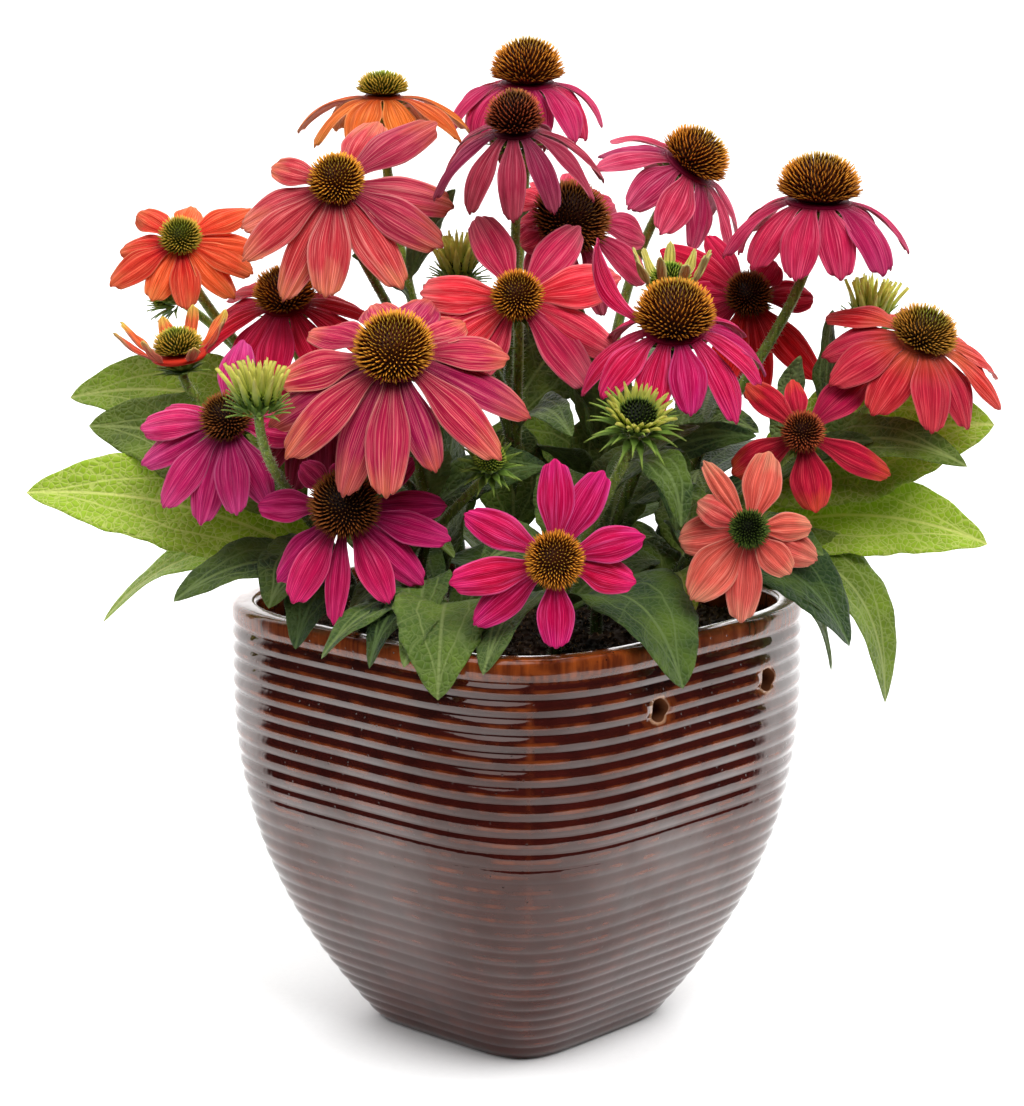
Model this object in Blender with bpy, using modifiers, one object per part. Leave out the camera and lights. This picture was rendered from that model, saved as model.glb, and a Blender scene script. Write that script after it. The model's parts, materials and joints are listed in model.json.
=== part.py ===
"""A coneflower plant in its glazed, ribbed pot, in metres, +Z up.

The origin is the centre of the pot's flat underside, and a viewer looks along +Y. The pot is a
rounded square with a corner towards the viewer. Fourteen leafy stems stand in holes in the compost.
Each flower head is a ring of petals round a flat disc, with a spiny cone resting on it. Buds,
leaves and the green cups under the heads grow from their stem, so they are one piece with it.
"""

import math
import random
from collections import namedtuple

import bmesh
import bpy
from mathutils import Matrix, Vector

MM = 0.001
UP = Vector((0, 0, 1))
GAP = 0.3  # clear space between pieces that rest on each other, in mm

# The pot, in mm. Its size is given across the corners.
POT_TURN = 2.3  # degrees that the front corner stands round to the right
POT_HEIGHT = 168
POT_BASE = 54.5  # corner radius at the foot
POT_SWELL = 55.5  # how much further out the wall stands from SHOULDER up
SHOULDER = 140
SWELL_POWER = 2.3
WALL = 10
FLOOR = 10
FOOT_ROUND = 1.5
LIP = 8.5  # the smooth band above the first groove
RIBS = 27
RIB_RELIEF = 1.3
SQUARENESS = (5.2, 3.76)  # superellipse exponent at the foot and at the rim
POT_SIDES = 16
HOLE_RADIUS = 4.3
HOLE_HEIGHT = 143
HOLE_OFFSETS = (-25, 39)  # along the face, from its middle

# The compost, in mm
COMPOST_TOP = 155
COMPOST_CROWN = 2
COMPOST_RINGS = (28, 54, 80)
CRUMB = 1.4
ROOT_DEPTH = 12

# The stems, in mm
STEM_RADIUS = 2.6
STALK_RADIUS = 2.1
STEM_POINTS = 6
STALK_POINTS = 4

# Leaves
LEAF_THICKNESS = 0.9
LEAF_SHARES = (0, 0.15, 0.4, 0.7)  # where along a leaf its sections are
PETIOLE = 0.1  # the share of a leaf's length before its blade opens
FOLD = 0.2  # how far a leaf's edges rise above its midrib, as a share of its half width
WAVE = 1.3  # mm

# Petals
PETAL_THICKNESS = 0.8
ARCHED_SHARES = (0, 0.4, 0.78)  # where along a petal its sections are
FLAT_SHARES = (0, 0.62)
FLAT = 20  # degrees of bend up to which a petal takes the fewer sections
CAMBER = 0.16  # how far a petal's edges curl under, as a share of its half width
LAYER = 4.5  # degrees that every second petal droops more, and the others less

# The other parts of a head, in mm
DISC_HEIGHT = 2.0
CUP_HEIGHT = 5.5
CONE_SIDES = 8
CONE_RINGS = 6
FLORET_RELIEF = 0.07


def even(count, start, length, every_other=0.94):
    """Petals at even steps round the clock, every second one a little shorter."""
    return [(start + 360 * i / count, length * (1, every_other)[i % 2]) for i in range(count)]


# A head stands at `at`. It leans `lean` degrees from upright, towards the compass direction
# `toward`, where -90 is the viewer and 0 the viewer's right. `cone` is its radius and height.
# `petals` is a list of clock angles, as the viewer sees them, with each petal's length from the
# head's middle and, where it differs, a factor on its width and a lift in degrees. `droop` is
# each petal's slope at its root and at its tip.
Head = namedtuple("Head", "at lean toward cone petals width droop colour florets")

HEADS = {
    "01": Head((4, 88, 361), 10, -90, (14.5, 19), even(12, 8, 41), 15, (8, 88), "dusk", "bronze"),
    "02": Head((-1, -4, 347), 20, -95, (10.5, 16), even(11, 4, 43), 10.5, (16, 74), "plum", "wine"),
    "03": Head((-53, 60, 357), 6, -90, (9.5, 9), even(9, 12, 40), 14, (2, 62), "orange", "lime"),
    "04": Head(
        (-68, 2, 326), 52, -88, (10.3, 12),
        [(43, 50), (66, 40), (160, 27, 0.8), (200, 40), (220, 47, 0.8), (247, 50, 0.9),
         (265, 47), (301, 48), (331, 47), (357, 46)],
        16, (2, 22), "coral", "gold",
    ),
    "05": Head(
        (-130, 26, 303), 50, -85, (7.8, 8),
        [(36, 34), (6, 36), (342, 31), (315, 31), (280, 29), (249, 27), (215, 33), (184, 25),
         (137, 24), (78, 22)],
        12, (4, 26), "orange", "lime",
    ),
    "06": Head(
        (-127, -14, 264), 12, -120, (8.8, 10),
        [(5, 25), (40, 28), (75, 27), (110, 25), (165, 28), (200, 29), (235, 25), (300, 20)],
        6, (-42, -52), "ember", "lime",
    ),
    "07": Head((-89, 16, 280), 26, -100, (11.8, 15), even(11, 2, 42), 14, (8, 52), "crimson", "bronze"),
    "08": Head(
        (-44, -66, 270), 46, -92, (14.6, 16),
        [(186, 45), (202, 54), (223, 55), (247, 56), (266, 55), (288, 47, 0.85), (317, 55),
         (343, 56), (8, 44), (42, 36), (72, 36), (104, 38), (146, 40)],
        16, (8, 38), "rose", "gold",
    ),
    "09": Head(
        (0, -26, 286), 64, -92, (9.3, 11),
        [(112, 38), (53, 40), (13, 40, 1.15), (334, 42), (311, 43), (244, 33, 0.7),
         (218, 38, 0.8), (198, 40), (174, 37)],
        15, (4, 16), "rose", "bronze",
    ),
    "10": Head(
        (20, 34, 309), 56, -72, (15.5, 14),
        [(10, 41), (43, 40), (76, 36), (109, 31), (142, 26), (175, 20), (208, 22), (240, 29),
         (272, 40), (305, 42), (338, 42)],
        14, (14, 54), "rose", "umber",
    ),
    "11": Head((69, 80, 328), 38, -28, (14, 17), even(11, 5, 42), 14.5, (14, 62), "dusk", "bronze"),
    "12": Head((115, 18, 319), 9, -80, (16, 19), even(12, 10, 46), 15, (16, 76), "magenta", "bronze"),
    "13": Head(
        (57, -48, 278), 24, -92, (14.8, 19),
        [(160, 52, 0.9, 170)] + even(12, 190, 46, 0.88)[:-1], 14, (14, 70), "magenta", "bronze",
    ),
    "15": Head(
        (90, 34, 280), 60, -90, (9, 10),
        [(144, 42), (116, 36, 0.7), (56, 20), (8, 28), (309, 43), (276, 43), (250, 40),
         (210, 32), (178, 26)],
        14, (4, 22), "crimson", "umber",
    ),
    "16": Head((152, -10, 269), 32, -62, (12.4, 12), even(11, 14, 43), 16, (6, 58), "scarlet", "moss"),
    "18": Head(
        (106, -30, 236), 66, -92, (7.5, 8),
        [(46, 36), (98, 24, 0.6), (132, 30, 0.8), (207, 31), (279, 30, 1.1), (337, 38, 0.8)],
        14, (4, 24), "crimson", "umber",
    ),
    "19": Head(
        (83, -74, 208), 76, -92, (6.6, 6.5),
        [(121, 30, 0.6), (72, 30, 1.1), (5, 23, 0.8), (337, 28), (312, 22, 0.9), (265, 34),
         (228, 33, 1.3), (186, 26, 1.2), (150, 21, 0.9)],
        13, (2, 12), "coral", "green",
    ),
    "20": Head(
        (13, -106, 203), 74, -90, (10, 8),
        [(88, 36), (63, 37), (17, 33), (345, 30), (271, 31), (216, 37), (194, 38), (150, 37)],
        13, (2, 12), "magenta", "bronze",
    ),
    "21": Head(
        (-62, -68, 215), 60, -92, (13, 12),
        [(175, 33), (223, 37), (240, 40), (264, 43, 0.7), (295, 39), (316, 40), (342, 40),
         (4, 38), (40, 32), (96, 24, 0.8, -25), (132, 28, 0.8, -25)],
        12.5, (4, 20), "purple", "umber",
    ),
    "22": Head(
        (-106, -45, 243), 52, -104, (9.4, 10),
        [(88, 38), (152, 33, 0.5), (172, 36), (191, 39), (228, 40), (250, 40), (274, 38),
         (295, 36), (345, 30)],
        13, (4, 24), "purple", "bronze",
    ),
    "24": Head(
        (-72, -36, 251), 48, -100, (9, 9),
        [(182, 26), (204, 30), (226, 36), (248, 38), (272, 34), (304, 28), (50, 20), (95, 20),
         (140, 24)],
        13, (6, 40), "crimson", "umber",
    ),
}

# A young head: its rays still stand up round a green cone, and it is one piece.
YOUNG = {"14": Head((58, 6, 288), 8, -80, (7.6, 10), even(9, 10, 24), 4.2, (-58, -66), "straw", "green")}

# A bud on its stalk: place, lean, direction, radius, height, number and length of its rays.
Bud = namedtuple("Bud", "at lean toward radius height rays length")
BUDS = {
    "17": Bud((139, 44, 275), 10, -60, 7, 7, 8, 11),
    "23": Bud((-92, -78, 258), 6, -90, 7.5, 6, 8, 11),
    "25": Bud((43, -76, 250), 36, -80, 7.5, 7, 0, 0),
    "26": Bud((-10, -64, 233), 50, -90, 5, 5, 0, 0),
    "27": Bud((-23, 14, 295), 10, -100, 6, 8, 5, 12),
    "28": Bud((-141, 54, 280), 60, 200, 6, 6, 0, 0),
    "29": Bud((-15, -14, 269), 40, -110, 6, 6, 0, 0),
}

# A leafy stem: where it stands in the compost, the head or bud at its top, and side stalks as
# pairs of a head or bud and the share of the stem's length where its stalk leaves.
Stem = namedtuple("Stem", "root top stalks")
STEMS = {
    "01": Stem((-8, 30), "01", [("02", 0.3)]),
    "02": Stem((-22, 34), "03", [("04", 0.35)]),
    "03": Stem((-52, 22), "05", [("28", 0.5)]),
    "04": Stem((-46, -6), "07", [("06", 0.4)]),
    "05": Stem((-28, -30), "08", [("24", 0.4)]),
    "06": Stem((-2, -6), "09", [("27", 0.5), ("29", 0.4)]),
    "07": Stem((30, 30), "11", [("10", 0.4)]),
    "08": Stem((50, 12), "12", [("15", 0.4)]),
    "09": Stem((30, -16), "13", [("14", 0.4)]),
    "10": Stem((64, 0), "16", [("17", 0.4)]),
    "11": Stem((52, -30), "18", [("19", 0.3)]),
    "12": Stem((14, -48), "25", [("20", 0.3)]),
    "13": Stem((-20, -56), "21", [("26", 0.4)]),
    "14": Stem((-58, -28), "22", [("23", 0.3)]),
}

# A leaf: its stem, the share of the stem's length where it grows, its tip, its width, how far it
# bows upwards, and its roll about its length. A leaf that points left shows its face to the viewer
# with a negative roll, and one that points right with a positive roll.
Leaf = namedtuple("Leaf", "stem share tip width bow roll")
SIDE_LEAVES = [
    Leaf("14", 0.24, (-185, -20, 212), 30, 10, -58),
    Leaf("14", 0.42, (-163, -4, 235), 29, 12, -60),
    Leaf("03", 0.40, (-177, 44, 239), 26, 10, -55),
    Leaf("14", 0.20, (-126, -58, 178), 17, 12, -30),
    Leaf("14", 0.17, (-160, -2, 158), 16, 22, -30),
    Leaf("10", 0.34, (184, 12, 233), 37, 10, 58),
    Leaf("10", 0.45, (168, -27, 223), 21, 14, 48),
    Leaf("10", 0.22, (181, 2, 188), 29, 12, 55),
    Leaf("11", 0.24, (123, -48, 159), 27, 18, 25),
    Leaf("10", 0.17, (140, -22, 131), 22, 30, 30),
    Leaf("11", 0.17, (118, -34, 146), 14, 26, 20),
]
FRONT_LEAVES = [
    Leaf("12", 0.14, (59, -90, 153), 28, 20, 6),
    Leaf("13", 0.18, (-28, -107, 153), 27, 20, 0),
    Leaf("12", 0.17, (-12, -112, 163), 18, 16, 8),
    Leaf("13", 0.20, (-53, -88, 160), 12, 16, -14),
    Leaf("14", 0.14, (-81, -66, 162), 17, 14, -8),
    Leaf("11", 0.20, (62, -64, 170), 12, 12, 10),
    Leaf("13", 0.35, (-35, -82, 170), 16, 12, 10),
    Leaf("13", 0.50, (-23, -66, 196), 12, 8, 0),
    Leaf("14", 0.30, (-91, -60, 176), 20, 10, -20),
    Leaf("13", 0.25, (-61, -66, 176), 18, 10, -10),
    Leaf("12", 0.30, (-13, -80, 196), 16, 8, -40),
    Leaf("11", 0.30, (61, -62, 199), 16, 6, -30),
    Leaf("11", 0.34, (113, -46, 193), 15, 8, 40),
]
INNER_LEAVES = [
    Leaf("09", 0.60, (58, -56, 204), 14, 12, 20),
    Leaf("09", 0.50, (89, -30, 235), 12, 6, 70),
    Leaf("02", 0.62, (-24, 34, 322), 11, 4, -20),
    Leaf("02", 0.58, (-64, 24, 297), 9, 4, -60),
    Leaf("01", 0.72, (12, 62, 322), 12, 4, 0),
    Leaf("10", 0.62, (122, 26, 276), 12, 8, -50),
    Leaf("10", 0.50, (107, -4, 262), 13, 4, 0),
    Leaf("10", 0.42, (134, -16, 231), 13, 6, 50),
    Leaf("07", 0.30, (26, 8, 268), 17, 6, 0),
    Leaf("06", 0.50, (20, -50, 238), 15, 10, 30),
    Leaf("09", 0.30, (70, -52, 214), 16, 10, 30),
    Leaf("05", 0.40, (-30, -60, 235), 15, 8, -20),
    Leaf("08", 0.35, (92, -2, 232), 16, 10, 40),
    Leaf("07", 0.20, (8, -8, 228), 18, 6, 0),
    Leaf("01", 0.30, (30, 78, 264), 32, 8, 50),
    Leaf("07", 0.22, (55, 52, 238), 28, 8, 50),
    Leaf("07", 0.20, (-15, 34, 224), 28, 10, -50),
    Leaf("02", 0.12, (-50, 48, 210), 26, 8, -50),
    Leaf("09", 0.10, (52, -14, 194), 22, 12, 35),
    Leaf("05", 0.40, (11, -40, 225), 19, 6, 50),
    Leaf("12", 0.80, (58, -86, 211), 15, 12, 20),
]
BACK_LEAVES = [
    Leaf("03", 0.25, (-128, 92, 205), 26, 14, 0),
    Leaf("02", 0.20, (-70, 130, 190), 28, 18, 0),
    Leaf("01", 0.20, (-8, 148, 196), 28, 18, 0),
    Leaf("07", 0.20, (66, 135, 188), 28, 18, 0),
    Leaf("08", 0.25, (130, 92, 205), 26, 14, 0),
    Leaf("02", 0.45, (-60, 124, 248), 22, 12, 0),
    Leaf("01", 0.45, (30, 142, 250), 22, 12, 0),
    Leaf("07", 0.45, (104, 120, 246), 22, 12, 0),
    Leaf("10", 0.30, (158, 66, 220), 26, 12, 0),
]
LEAVES = SIDE_LEAVES + FRONT_LEAVES + INNER_LEAVES + BACK_LEAVES


def smooth(x):
    """An ease from 0 to 1 that is level at both ends."""
    x = max(0.0, min(1.0, x))
    return x * x * (3 - 2 * x)


def material(name, colour, roughness=0.5):
    """A plain Principled material, made once and then reused."""
    found = bpy.data.materials.get(name)
    if found:
        return found
    made = bpy.data.materials.new(name)
    made.use_nodes = True
    surface = made.node_tree.nodes["Principled BSDF"]
    surface.inputs["Base Color"].default_value = (*colour, 1)
    surface.inputs["Roughness"].default_value = roughness
    surface.inputs["Metallic"].default_value = 0
    return made


def add_object(name, mesh, surface, collection):
    """A smooth-shaded object from a bmesh in mm."""
    bmesh.ops.scale(mesh, vec=(MM, MM, MM), verts=mesh.verts)
    data = bpy.data.meshes.new(name)
    mesh.to_mesh(data)
    mesh.free()
    data.shade_smooth()
    if surface:
        data.materials.append(surface)
    made = bpy.data.objects.new(name, data)
    collection.objects.link(made)
    return made


def evaluated_mesh(source):
    """A bmesh of an object with its modifiers applied, in the object's own units."""
    bpy.context.view_layer.update()
    graph = bpy.context.evaluated_depsgraph_get()
    data = bpy.data.meshes.new_from_object(source.evaluated_get(graph))
    mesh = bmesh.new()
    mesh.from_mesh(data)
    bpy.data.meshes.remove(data)
    return mesh


def remove(pieces):
    for piece in list(pieces):
        bpy.data.objects.remove(piece)


def fused(name, pieces, surface, collection):
    """One body from pieces that run into each other, by one Boolean union on a collection."""
    body, others = pieces[0], pieces[1:]
    group = bpy.data.collections.new(name + "_pieces")
    bpy.context.scene.collection.children.link(group)
    for piece in others:
        collection.objects.unlink(piece)
        group.objects.link(piece)
    union = body.modifiers.new("Union", "BOOLEAN")
    union.operation = "UNION"
    union.operand_type = "COLLECTION"
    union.collection = group
    union.solver = "EXACT"
    mesh = evaluated_mesh(body)
    bmesh.ops.scale(mesh, vec=(1 / MM, 1 / MM, 1 / MM), verts=mesh.verts)
    remove(pieces)
    bpy.data.collections.remove(group)
    return add_object(name, mesh, surface, collection)


def turned(profile, steps):
    """A bmesh of a closed profile of (radius, height) points, turned about Z by a Screw."""
    outline = bmesh.new()
    points = [outline.verts.new((radius, 0, height)) for radius, height in profile]
    for first, second in zip(points, points[1:]):
        outline.edges.new((first, second))
    holder = add_object("outline", outline, None, bpy.context.scene.collection)
    screw = holder.modifiers.new("Screw", "SCREW")
    screw.steps = steps
    screw.render_steps = steps
    screw.use_merge_vertices = True
    screw.merge_threshold = 0.00001
    mesh = evaluated_mesh(holder)
    remove([holder])
    bmesh.ops.scale(mesh, vec=(1 / MM, 1 / MM, 1 / MM), verts=mesh.verts)
    return mesh


def wall_radius(height):
    """The pot's corner radius at a height: a foot that swells to an upright wall."""
    short = max(0.0, 1 - height / SHOULDER)
    return POT_BASE + POT_SWELL * (1 - short**SWELL_POWER)


def wall_point(height, depth):
    """A point of the outer wall, sunk by depth along the wall's own normal."""
    slope = wall_radius(height + 0.5) - wall_radius(height - 0.5)
    length = math.hypot(1, slope)
    return wall_radius(height) - depth / length, height + depth * slope / length


def heights_down_the_wall(count):
    """Heights at equal steps of length down the outer wall, from under the lip to the foot."""
    step = 0.05
    heights = [POT_HEIGHT - LIP]
    lengths = [0.0]
    while heights[-1] > FOOT_ROUND:
        lower = heights[-1] - step
        lengths.append(lengths[-1] + math.hypot(step, wall_radius(heights[-1]) - wall_radius(lower)))
        heights.append(lower)
    wanted = [lengths[-1] * i / count for i in range(count + 1)]
    found = []
    place = 0
    for length in wanted:
        while place < len(lengths) - 1 and lengths[place] < length:
            place += 1
        found.append(heights[place])
    return found


def squared(mesh, turn):
    """Pushes a turned shape out from its corner radius to the pot's rounded-square plan."""
    foot, rim = SQUARENESS
    for vert in mesh.verts:
        power = rim + (foot - rim) * (1 - min(1, vert.co.z / POT_HEIGHT)) ** 2
        angle = math.atan2(vert.co.y, vert.co.x) - math.pi / 4
        reach = (abs(math.cos(angle)) ** power + abs(math.sin(angle)) ** power) ** (-1 / power)
        reach /= 2 ** (0.5 - 1 / power)
        vert.co.x *= reach
        vert.co.y *= reach
    bmesh.ops.rotate(mesh, matrix=Matrix.Rotation(math.radians(turn), 3, "Z"), verts=mesh.verts)


def inside_heights():
    return [FLOOR, 26, 60, 110, POT_HEIGHT - 4]


def pot(collection):
    """The ribbed pot, with two holes through its front right wall and two through the opposite one."""
    profile = [(0, FLOOR)]
    profile += [(wall_radius(height) - WALL, height) for height in inside_heights()]
    rim = wall_radius(POT_HEIGHT)
    profile += [(rim - WALL + 2, POT_HEIGHT), (rim - 2.5, POT_HEIGHT), (rim, POT_HEIGHT - 2)]
    ribs = heights_down_the_wall(2 * RIBS)
    profile += [wall_point(height, RIB_RELIEF * (1 - i % 2)) for i, height in enumerate(ribs[:-1])]
    profile += [(POT_BASE, FOOT_ROUND), (POT_BASE - FOOT_ROUND, 0), (0, 0)]
    mesh = turned(profile, POT_SIDES)
    squared(mesh, POT_TURN)
    body = add_object("pot", mesh, material("glaze", (0.08, 0.016, 0.01), 0.12), collection)
    drills = bpy.data.collections.new("cutters")
    bpy.context.scene.collection.children.link(drills)
    flat = wall_radius(HOLE_HEIGHT) / 2 ** (0.5 - 1 / SQUARENESS[1])
    for side in (-45, 135):
        for offset in HOLE_OFFSETS:
            face = Matrix.Rotation(math.radians(side + POT_TURN), 4, "Z")
            drill = bmesh.new()
            bmesh.ops.create_cone(
                drill, cap_ends=True, segments=8, radius1=HOLE_RADIUS, radius2=HOLE_RADIUS, depth=60
            )
            spot = Matrix.Translation((flat, offset, HOLE_HEIGHT)) @ Matrix.Rotation(math.pi / 2, 4, "Y")
            bmesh.ops.transform(drill, matrix=face @ spot, verts=drill.verts)
            add_object("drill", drill, None, drills)
    return cut(body, drills)


def cut(body, cutters):
    """The body with a collection of cutters taken out of it."""
    for cutter in cutters.objects:
        cutter.hide_render = True
        cutter.display_type = "WIRE"
    difference = body.modifiers.new("Holes", "BOOLEAN")
    difference.operation = "DIFFERENCE"
    difference.operand_type = "COLLECTION"
    difference.collection = cutters
    return body


def compost(collection):
    """The compost that fills the pot, with a crumbly top and a hole for each stem."""
    edge = wall_radius(POT_HEIGHT) - WALL - GAP * 2
    profile = [(0, COMPOST_TOP + COMPOST_CROWN)]
    for radius in COMPOST_RINGS:
        profile.append((radius, COMPOST_TOP + COMPOST_CROWN * (1 - (radius / edge) ** 2)))
    profile.append((edge, COMPOST_TOP - 1))
    for height in reversed(inside_heights()[:-1]):
        profile.append((wall_radius(height) - WALL - GAP * 2, height + GAP))
    profile.append((0, FLOOR + GAP))
    mesh = turned(profile, POT_SIDES)
    squared(mesh, POT_TURN)
    for vert in mesh.verts:
        if vert.co.z > COMPOST_TOP - 0.5:
            x, y = vert.co.x, vert.co.y
            vert.co.z += CRUMB * math.sin(0.31 * x + 0.11 * y) * math.cos(0.27 * y - 0.17 * x)
    body = add_object("compost", mesh, material("compost", (0.03, 0.018, 0.012), 0.95), collection)
    dibbers = bpy.data.collections.new("dibbers")
    bpy.context.scene.collection.children.link(dibbers)
    for stem in STEMS.values():
        dibber = bmesh.new()
        wide = STEM_RADIUS + 1
        bmesh.ops.create_cone(dibber, cap_ends=True, segments=5, radius1=wide, radius2=wide, depth=60)
        low = COMPOST_TOP - ROOT_DEPTH - GAP
        bmesh.ops.translate(dibber, vec=(*stem.root, low + 30), verts=dibber.verts)
        add_object("dibber", dibber, None, dibbers)
    return cut(body, dibbers)


def head_axes(head):
    """The way a head faces, and the ways its clock's 0 and 90 degrees point."""
    lean, toward = math.radians(head.lean), math.radians(head.toward)
    out = math.sin(lean)
    axis = Vector((out * math.cos(toward), out * math.sin(toward), math.cos(lean)))
    right = (Vector((1, 0, 0)) - axis * axis.x).normalized()
    return axis, right, axis.cross(right)


def head_matrix(head, height):
    """Places a shape drawn about Z on the head's axis, its origin at a height over the disc's top."""
    axis, right, back = head_axes(head)
    turn = Matrix((right, back, axis)).transposed().to_4x4()
    return Matrix.Translation(Vector(head.at) + axis * height) @ turn


def blade(sections, tip):
    """A closed blade through sections that each run left edge, middle top, right edge, underside.

    A petal's section has no underside point. Both faces are split into triangles from edge to
    middle alike, so that a waved blade doesn't cross itself.
    """
    mesh = bmesh.new()
    rings = [[mesh.verts.new(place) for place in section] for section in sections]
    end = mesh.verts.new(tip)
    count = len(rings[0])
    for near, far in zip(rings, rings[1:]):
        for i in range(count):
            j = (i + 1) % count
            if i % 2:
                mesh.faces.new((near[i], near[j], far[i]))
                mesh.faces.new((near[j], far[j], far[i]))
            else:
                mesh.faces.new((near[i], near[j], far[j]))
                mesh.faces.new((near[i], far[j], far[i]))
    for i in range(count):
        mesh.faces.new((rings[-1][i], rings[-1][(i + 1) % count], end))
    left, top, right, *under = rings[0]
    for low in under:
        mesh.faces.new((low, top, left))
    mesh.faces.new((under or [left]) + [right, top])
    return mesh


def disc_radius(head):
    """Drooping petals leave from under the cone, and upright rays from outside it."""
    radius = head.cone[0]
    return 0.8 * radius if head.droop[0] > -20 else 1.05 * radius + 1.5


def petal_width(share):
    """A petal's width along its length: narrow at the root, blunt at the tip."""
    rounding = max(0.0, (share - 0.76) / 0.24) ** 2.4
    return (0.26 + 0.74 * smooth(share / 0.52)) * math.sqrt(max(0.0, 1 - rounding))


def petal_place(head, clock, root, length, slopes, sway, share):
    """The middle line of a petal: an arc that starts in the disc, with its side and its normal."""
    axis, right, back = head_axes(head)
    out = right * math.cos(clock) + back * math.sin(clock)
    start, end = slopes
    bend = end - start if abs(end - start) > 0.01 else 0.01
    slope = start + bend * share
    reach = root + length * (math.sin(slope) - math.sin(start)) / bend
    drop = DISC_HEIGHT / 2 + length * (math.cos(start) - math.cos(slope)) / bend
    normal = axis * math.cos(slope) + out * math.sin(slope)
    along = out * math.cos(slope) - axis * math.sin(slope)
    side = normal.cross(along)
    return Vector(head.at) + out * reach - axis * drop + side * sway * length * share**2, side, normal


def petal_blade(name, head, index, entry):
    clock, length, wide, lift = entry + (1, 0)[len(entry) - 2 :]
    draw = random.Random(f"petal {name} {index}")
    layer = (-LAYER, LAYER)[index % 2] + draw.uniform(-3, 3)
    start, end = head.droop
    slopes = math.radians(start + layer - lift / 5), math.radians(end + layer - lift)
    sway = draw.uniform(-0.05, 0.05)
    root = disc_radius(head) - 1.2
    shares = FLAT_SHARES if abs(end - start) <= FLAT else ARCHED_SHARES
    places = [
        petal_place(head, math.radians(clock), root, length - root, slopes, sway, share)
        for share in (*shares, 1)
    ]
    sections = []
    for share, (centre, side, normal) in zip(shares, places):
        half = head.width * wide / 2 * petal_width(share)
        edge = centre - normal * (PETAL_THICKNESS / 2 + CAMBER * half * smooth(share * 3))
        sections.append((edge + side * half, centre + normal * PETAL_THICKNESS / 2, edge - side * half))
    return blade(sections, places[-1][0])


def ray_ring(name, head, collection):
    """The disc that carries the petals, and the petals, as pieces to be fused."""
    mesh = bmesh.new()
    radius = disc_radius(head)
    bmesh.ops.create_cone(
        mesh, cap_ends=True, segments=10, radius1=radius, radius2=radius, depth=DISC_HEIGHT
    )
    bmesh.ops.transform(mesh, matrix=head_matrix(head, -DISC_HEIGHT / 2), verts=mesh.verts)
    pieces = [add_object("disc", mesh, None, collection)]
    for index, entry in enumerate(head.petals):
        pieces.append(add_object("petal", petal_blade(name, head, index, entry), None, collection))
    return pieces


def cone_mesh(head, sunk):
    """A domed cone whose surface is raised in alternate points, like its spiny florets."""
    radius, height = head.cone
    mesh = bmesh.new()
    bmesh.ops.create_uvsphere(mesh, u_segments=CONE_SIDES, v_segments=CONE_RINGS, radius=1)
    for vert in mesh.verts:
        column = round(math.atan2(vert.co.y, vert.co.x) * CONE_SIDES / math.tau)
        row = round(math.asin(max(-1, min(1, vert.co.z))) * CONE_RINGS / math.pi)
        raised = abs(row) < CONE_RINGS / 2 and row > -2
        relief = 1 + FLORET_RELIEF * ((column + row) % 2 * 2 - 1) * raised
        share = 0.75 if vert.co.z > 0 else 0.25
        vert.co.x *= radius * relief
        vert.co.y *= radius * relief
        vert.co.z = height * (0.25 + share * vert.co.z * relief)
    bmesh.ops.transform(mesh, matrix=head_matrix(head, GAP - sunk), verts=mesh.verts)
    return mesh


def cup(head, radius, collection):
    """The green cup under a head or bud."""
    mesh = bmesh.new()
    bmesh.ops.create_cone(
        mesh, cap_ends=True, segments=6, radius1=STALK_RADIUS, radius2=radius, depth=CUP_HEIGHT
    )
    below = DISC_HEIGHT + GAP + CUP_HEIGHT / 2
    bmesh.ops.transform(mesh, matrix=head_matrix(head, -below), verts=mesh.verts)
    return add_object("cup", mesh, None, collection)


def bud_pieces(bud, collection):
    """A bud's cup, its domed middle and its short upright rays."""
    pieces = [cup(bud, bud.radius * 1.15, collection)]
    dome = bmesh.new()
    bmesh.ops.create_uvsphere(dome, u_segments=7, v_segments=4, radius=1)
    bmesh.ops.scale(dome, vec=(bud.radius, bud.radius, bud.height), verts=dome.verts)
    bmesh.ops.transform(dome, matrix=head_matrix(bud, -DISC_HEIGHT - GAP), verts=dome.verts)
    pieces.append(add_object("dome", dome, None, collection))
    for i in range(bud.rays):
        ray = bmesh.new()
        bmesh.ops.create_cone(ray, cap_ends=True, segments=3, radius1=1.7, radius2=0.5, depth=bud.length + 3)
        stand = Matrix.Translation((bud.radius, 0, bud.length / 2 - 3)) @ Matrix.Rotation(0.22, 4, "Y")
        spin = Matrix.Rotation(math.tau * i / bud.rays, 4, "Z")
        bmesh.ops.transform(ray, matrix=head_matrix(bud, 0) @ spin @ stand, verts=ray.verts)
        pieces.append(add_object("ray", ray, None, collection))
    return pieces


def bezier(ends, share):
    first, second, third, last = ends
    rest = 1 - share
    return first * rest**3 + second * 3 * rest**2 * share + third * 3 * rest * share**2 + last * share**3


def stalk_line(start, heading, goal):
    """Control points of a stalk that leaves start along heading and enters a head along its axis."""
    axis = head_axes(goal)[0]
    end = Vector(goal.at) - axis * (DISC_HEIGHT + GAP + CUP_HEIGHT - 1.5)
    reach = (end - start).length
    return start, start + heading * reach * 0.36, end - axis * reach * 0.3, end


def goal_of(name):
    return HEADS.get(name) or YOUNG.get(name) or BUDS[name]


def stem_line(stem):
    """Control points of a stem above the compost."""
    start = Vector((*stem.root, COMPOST_TOP + 3))
    return stalk_line(start, UP, goal_of(stem.top))


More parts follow.
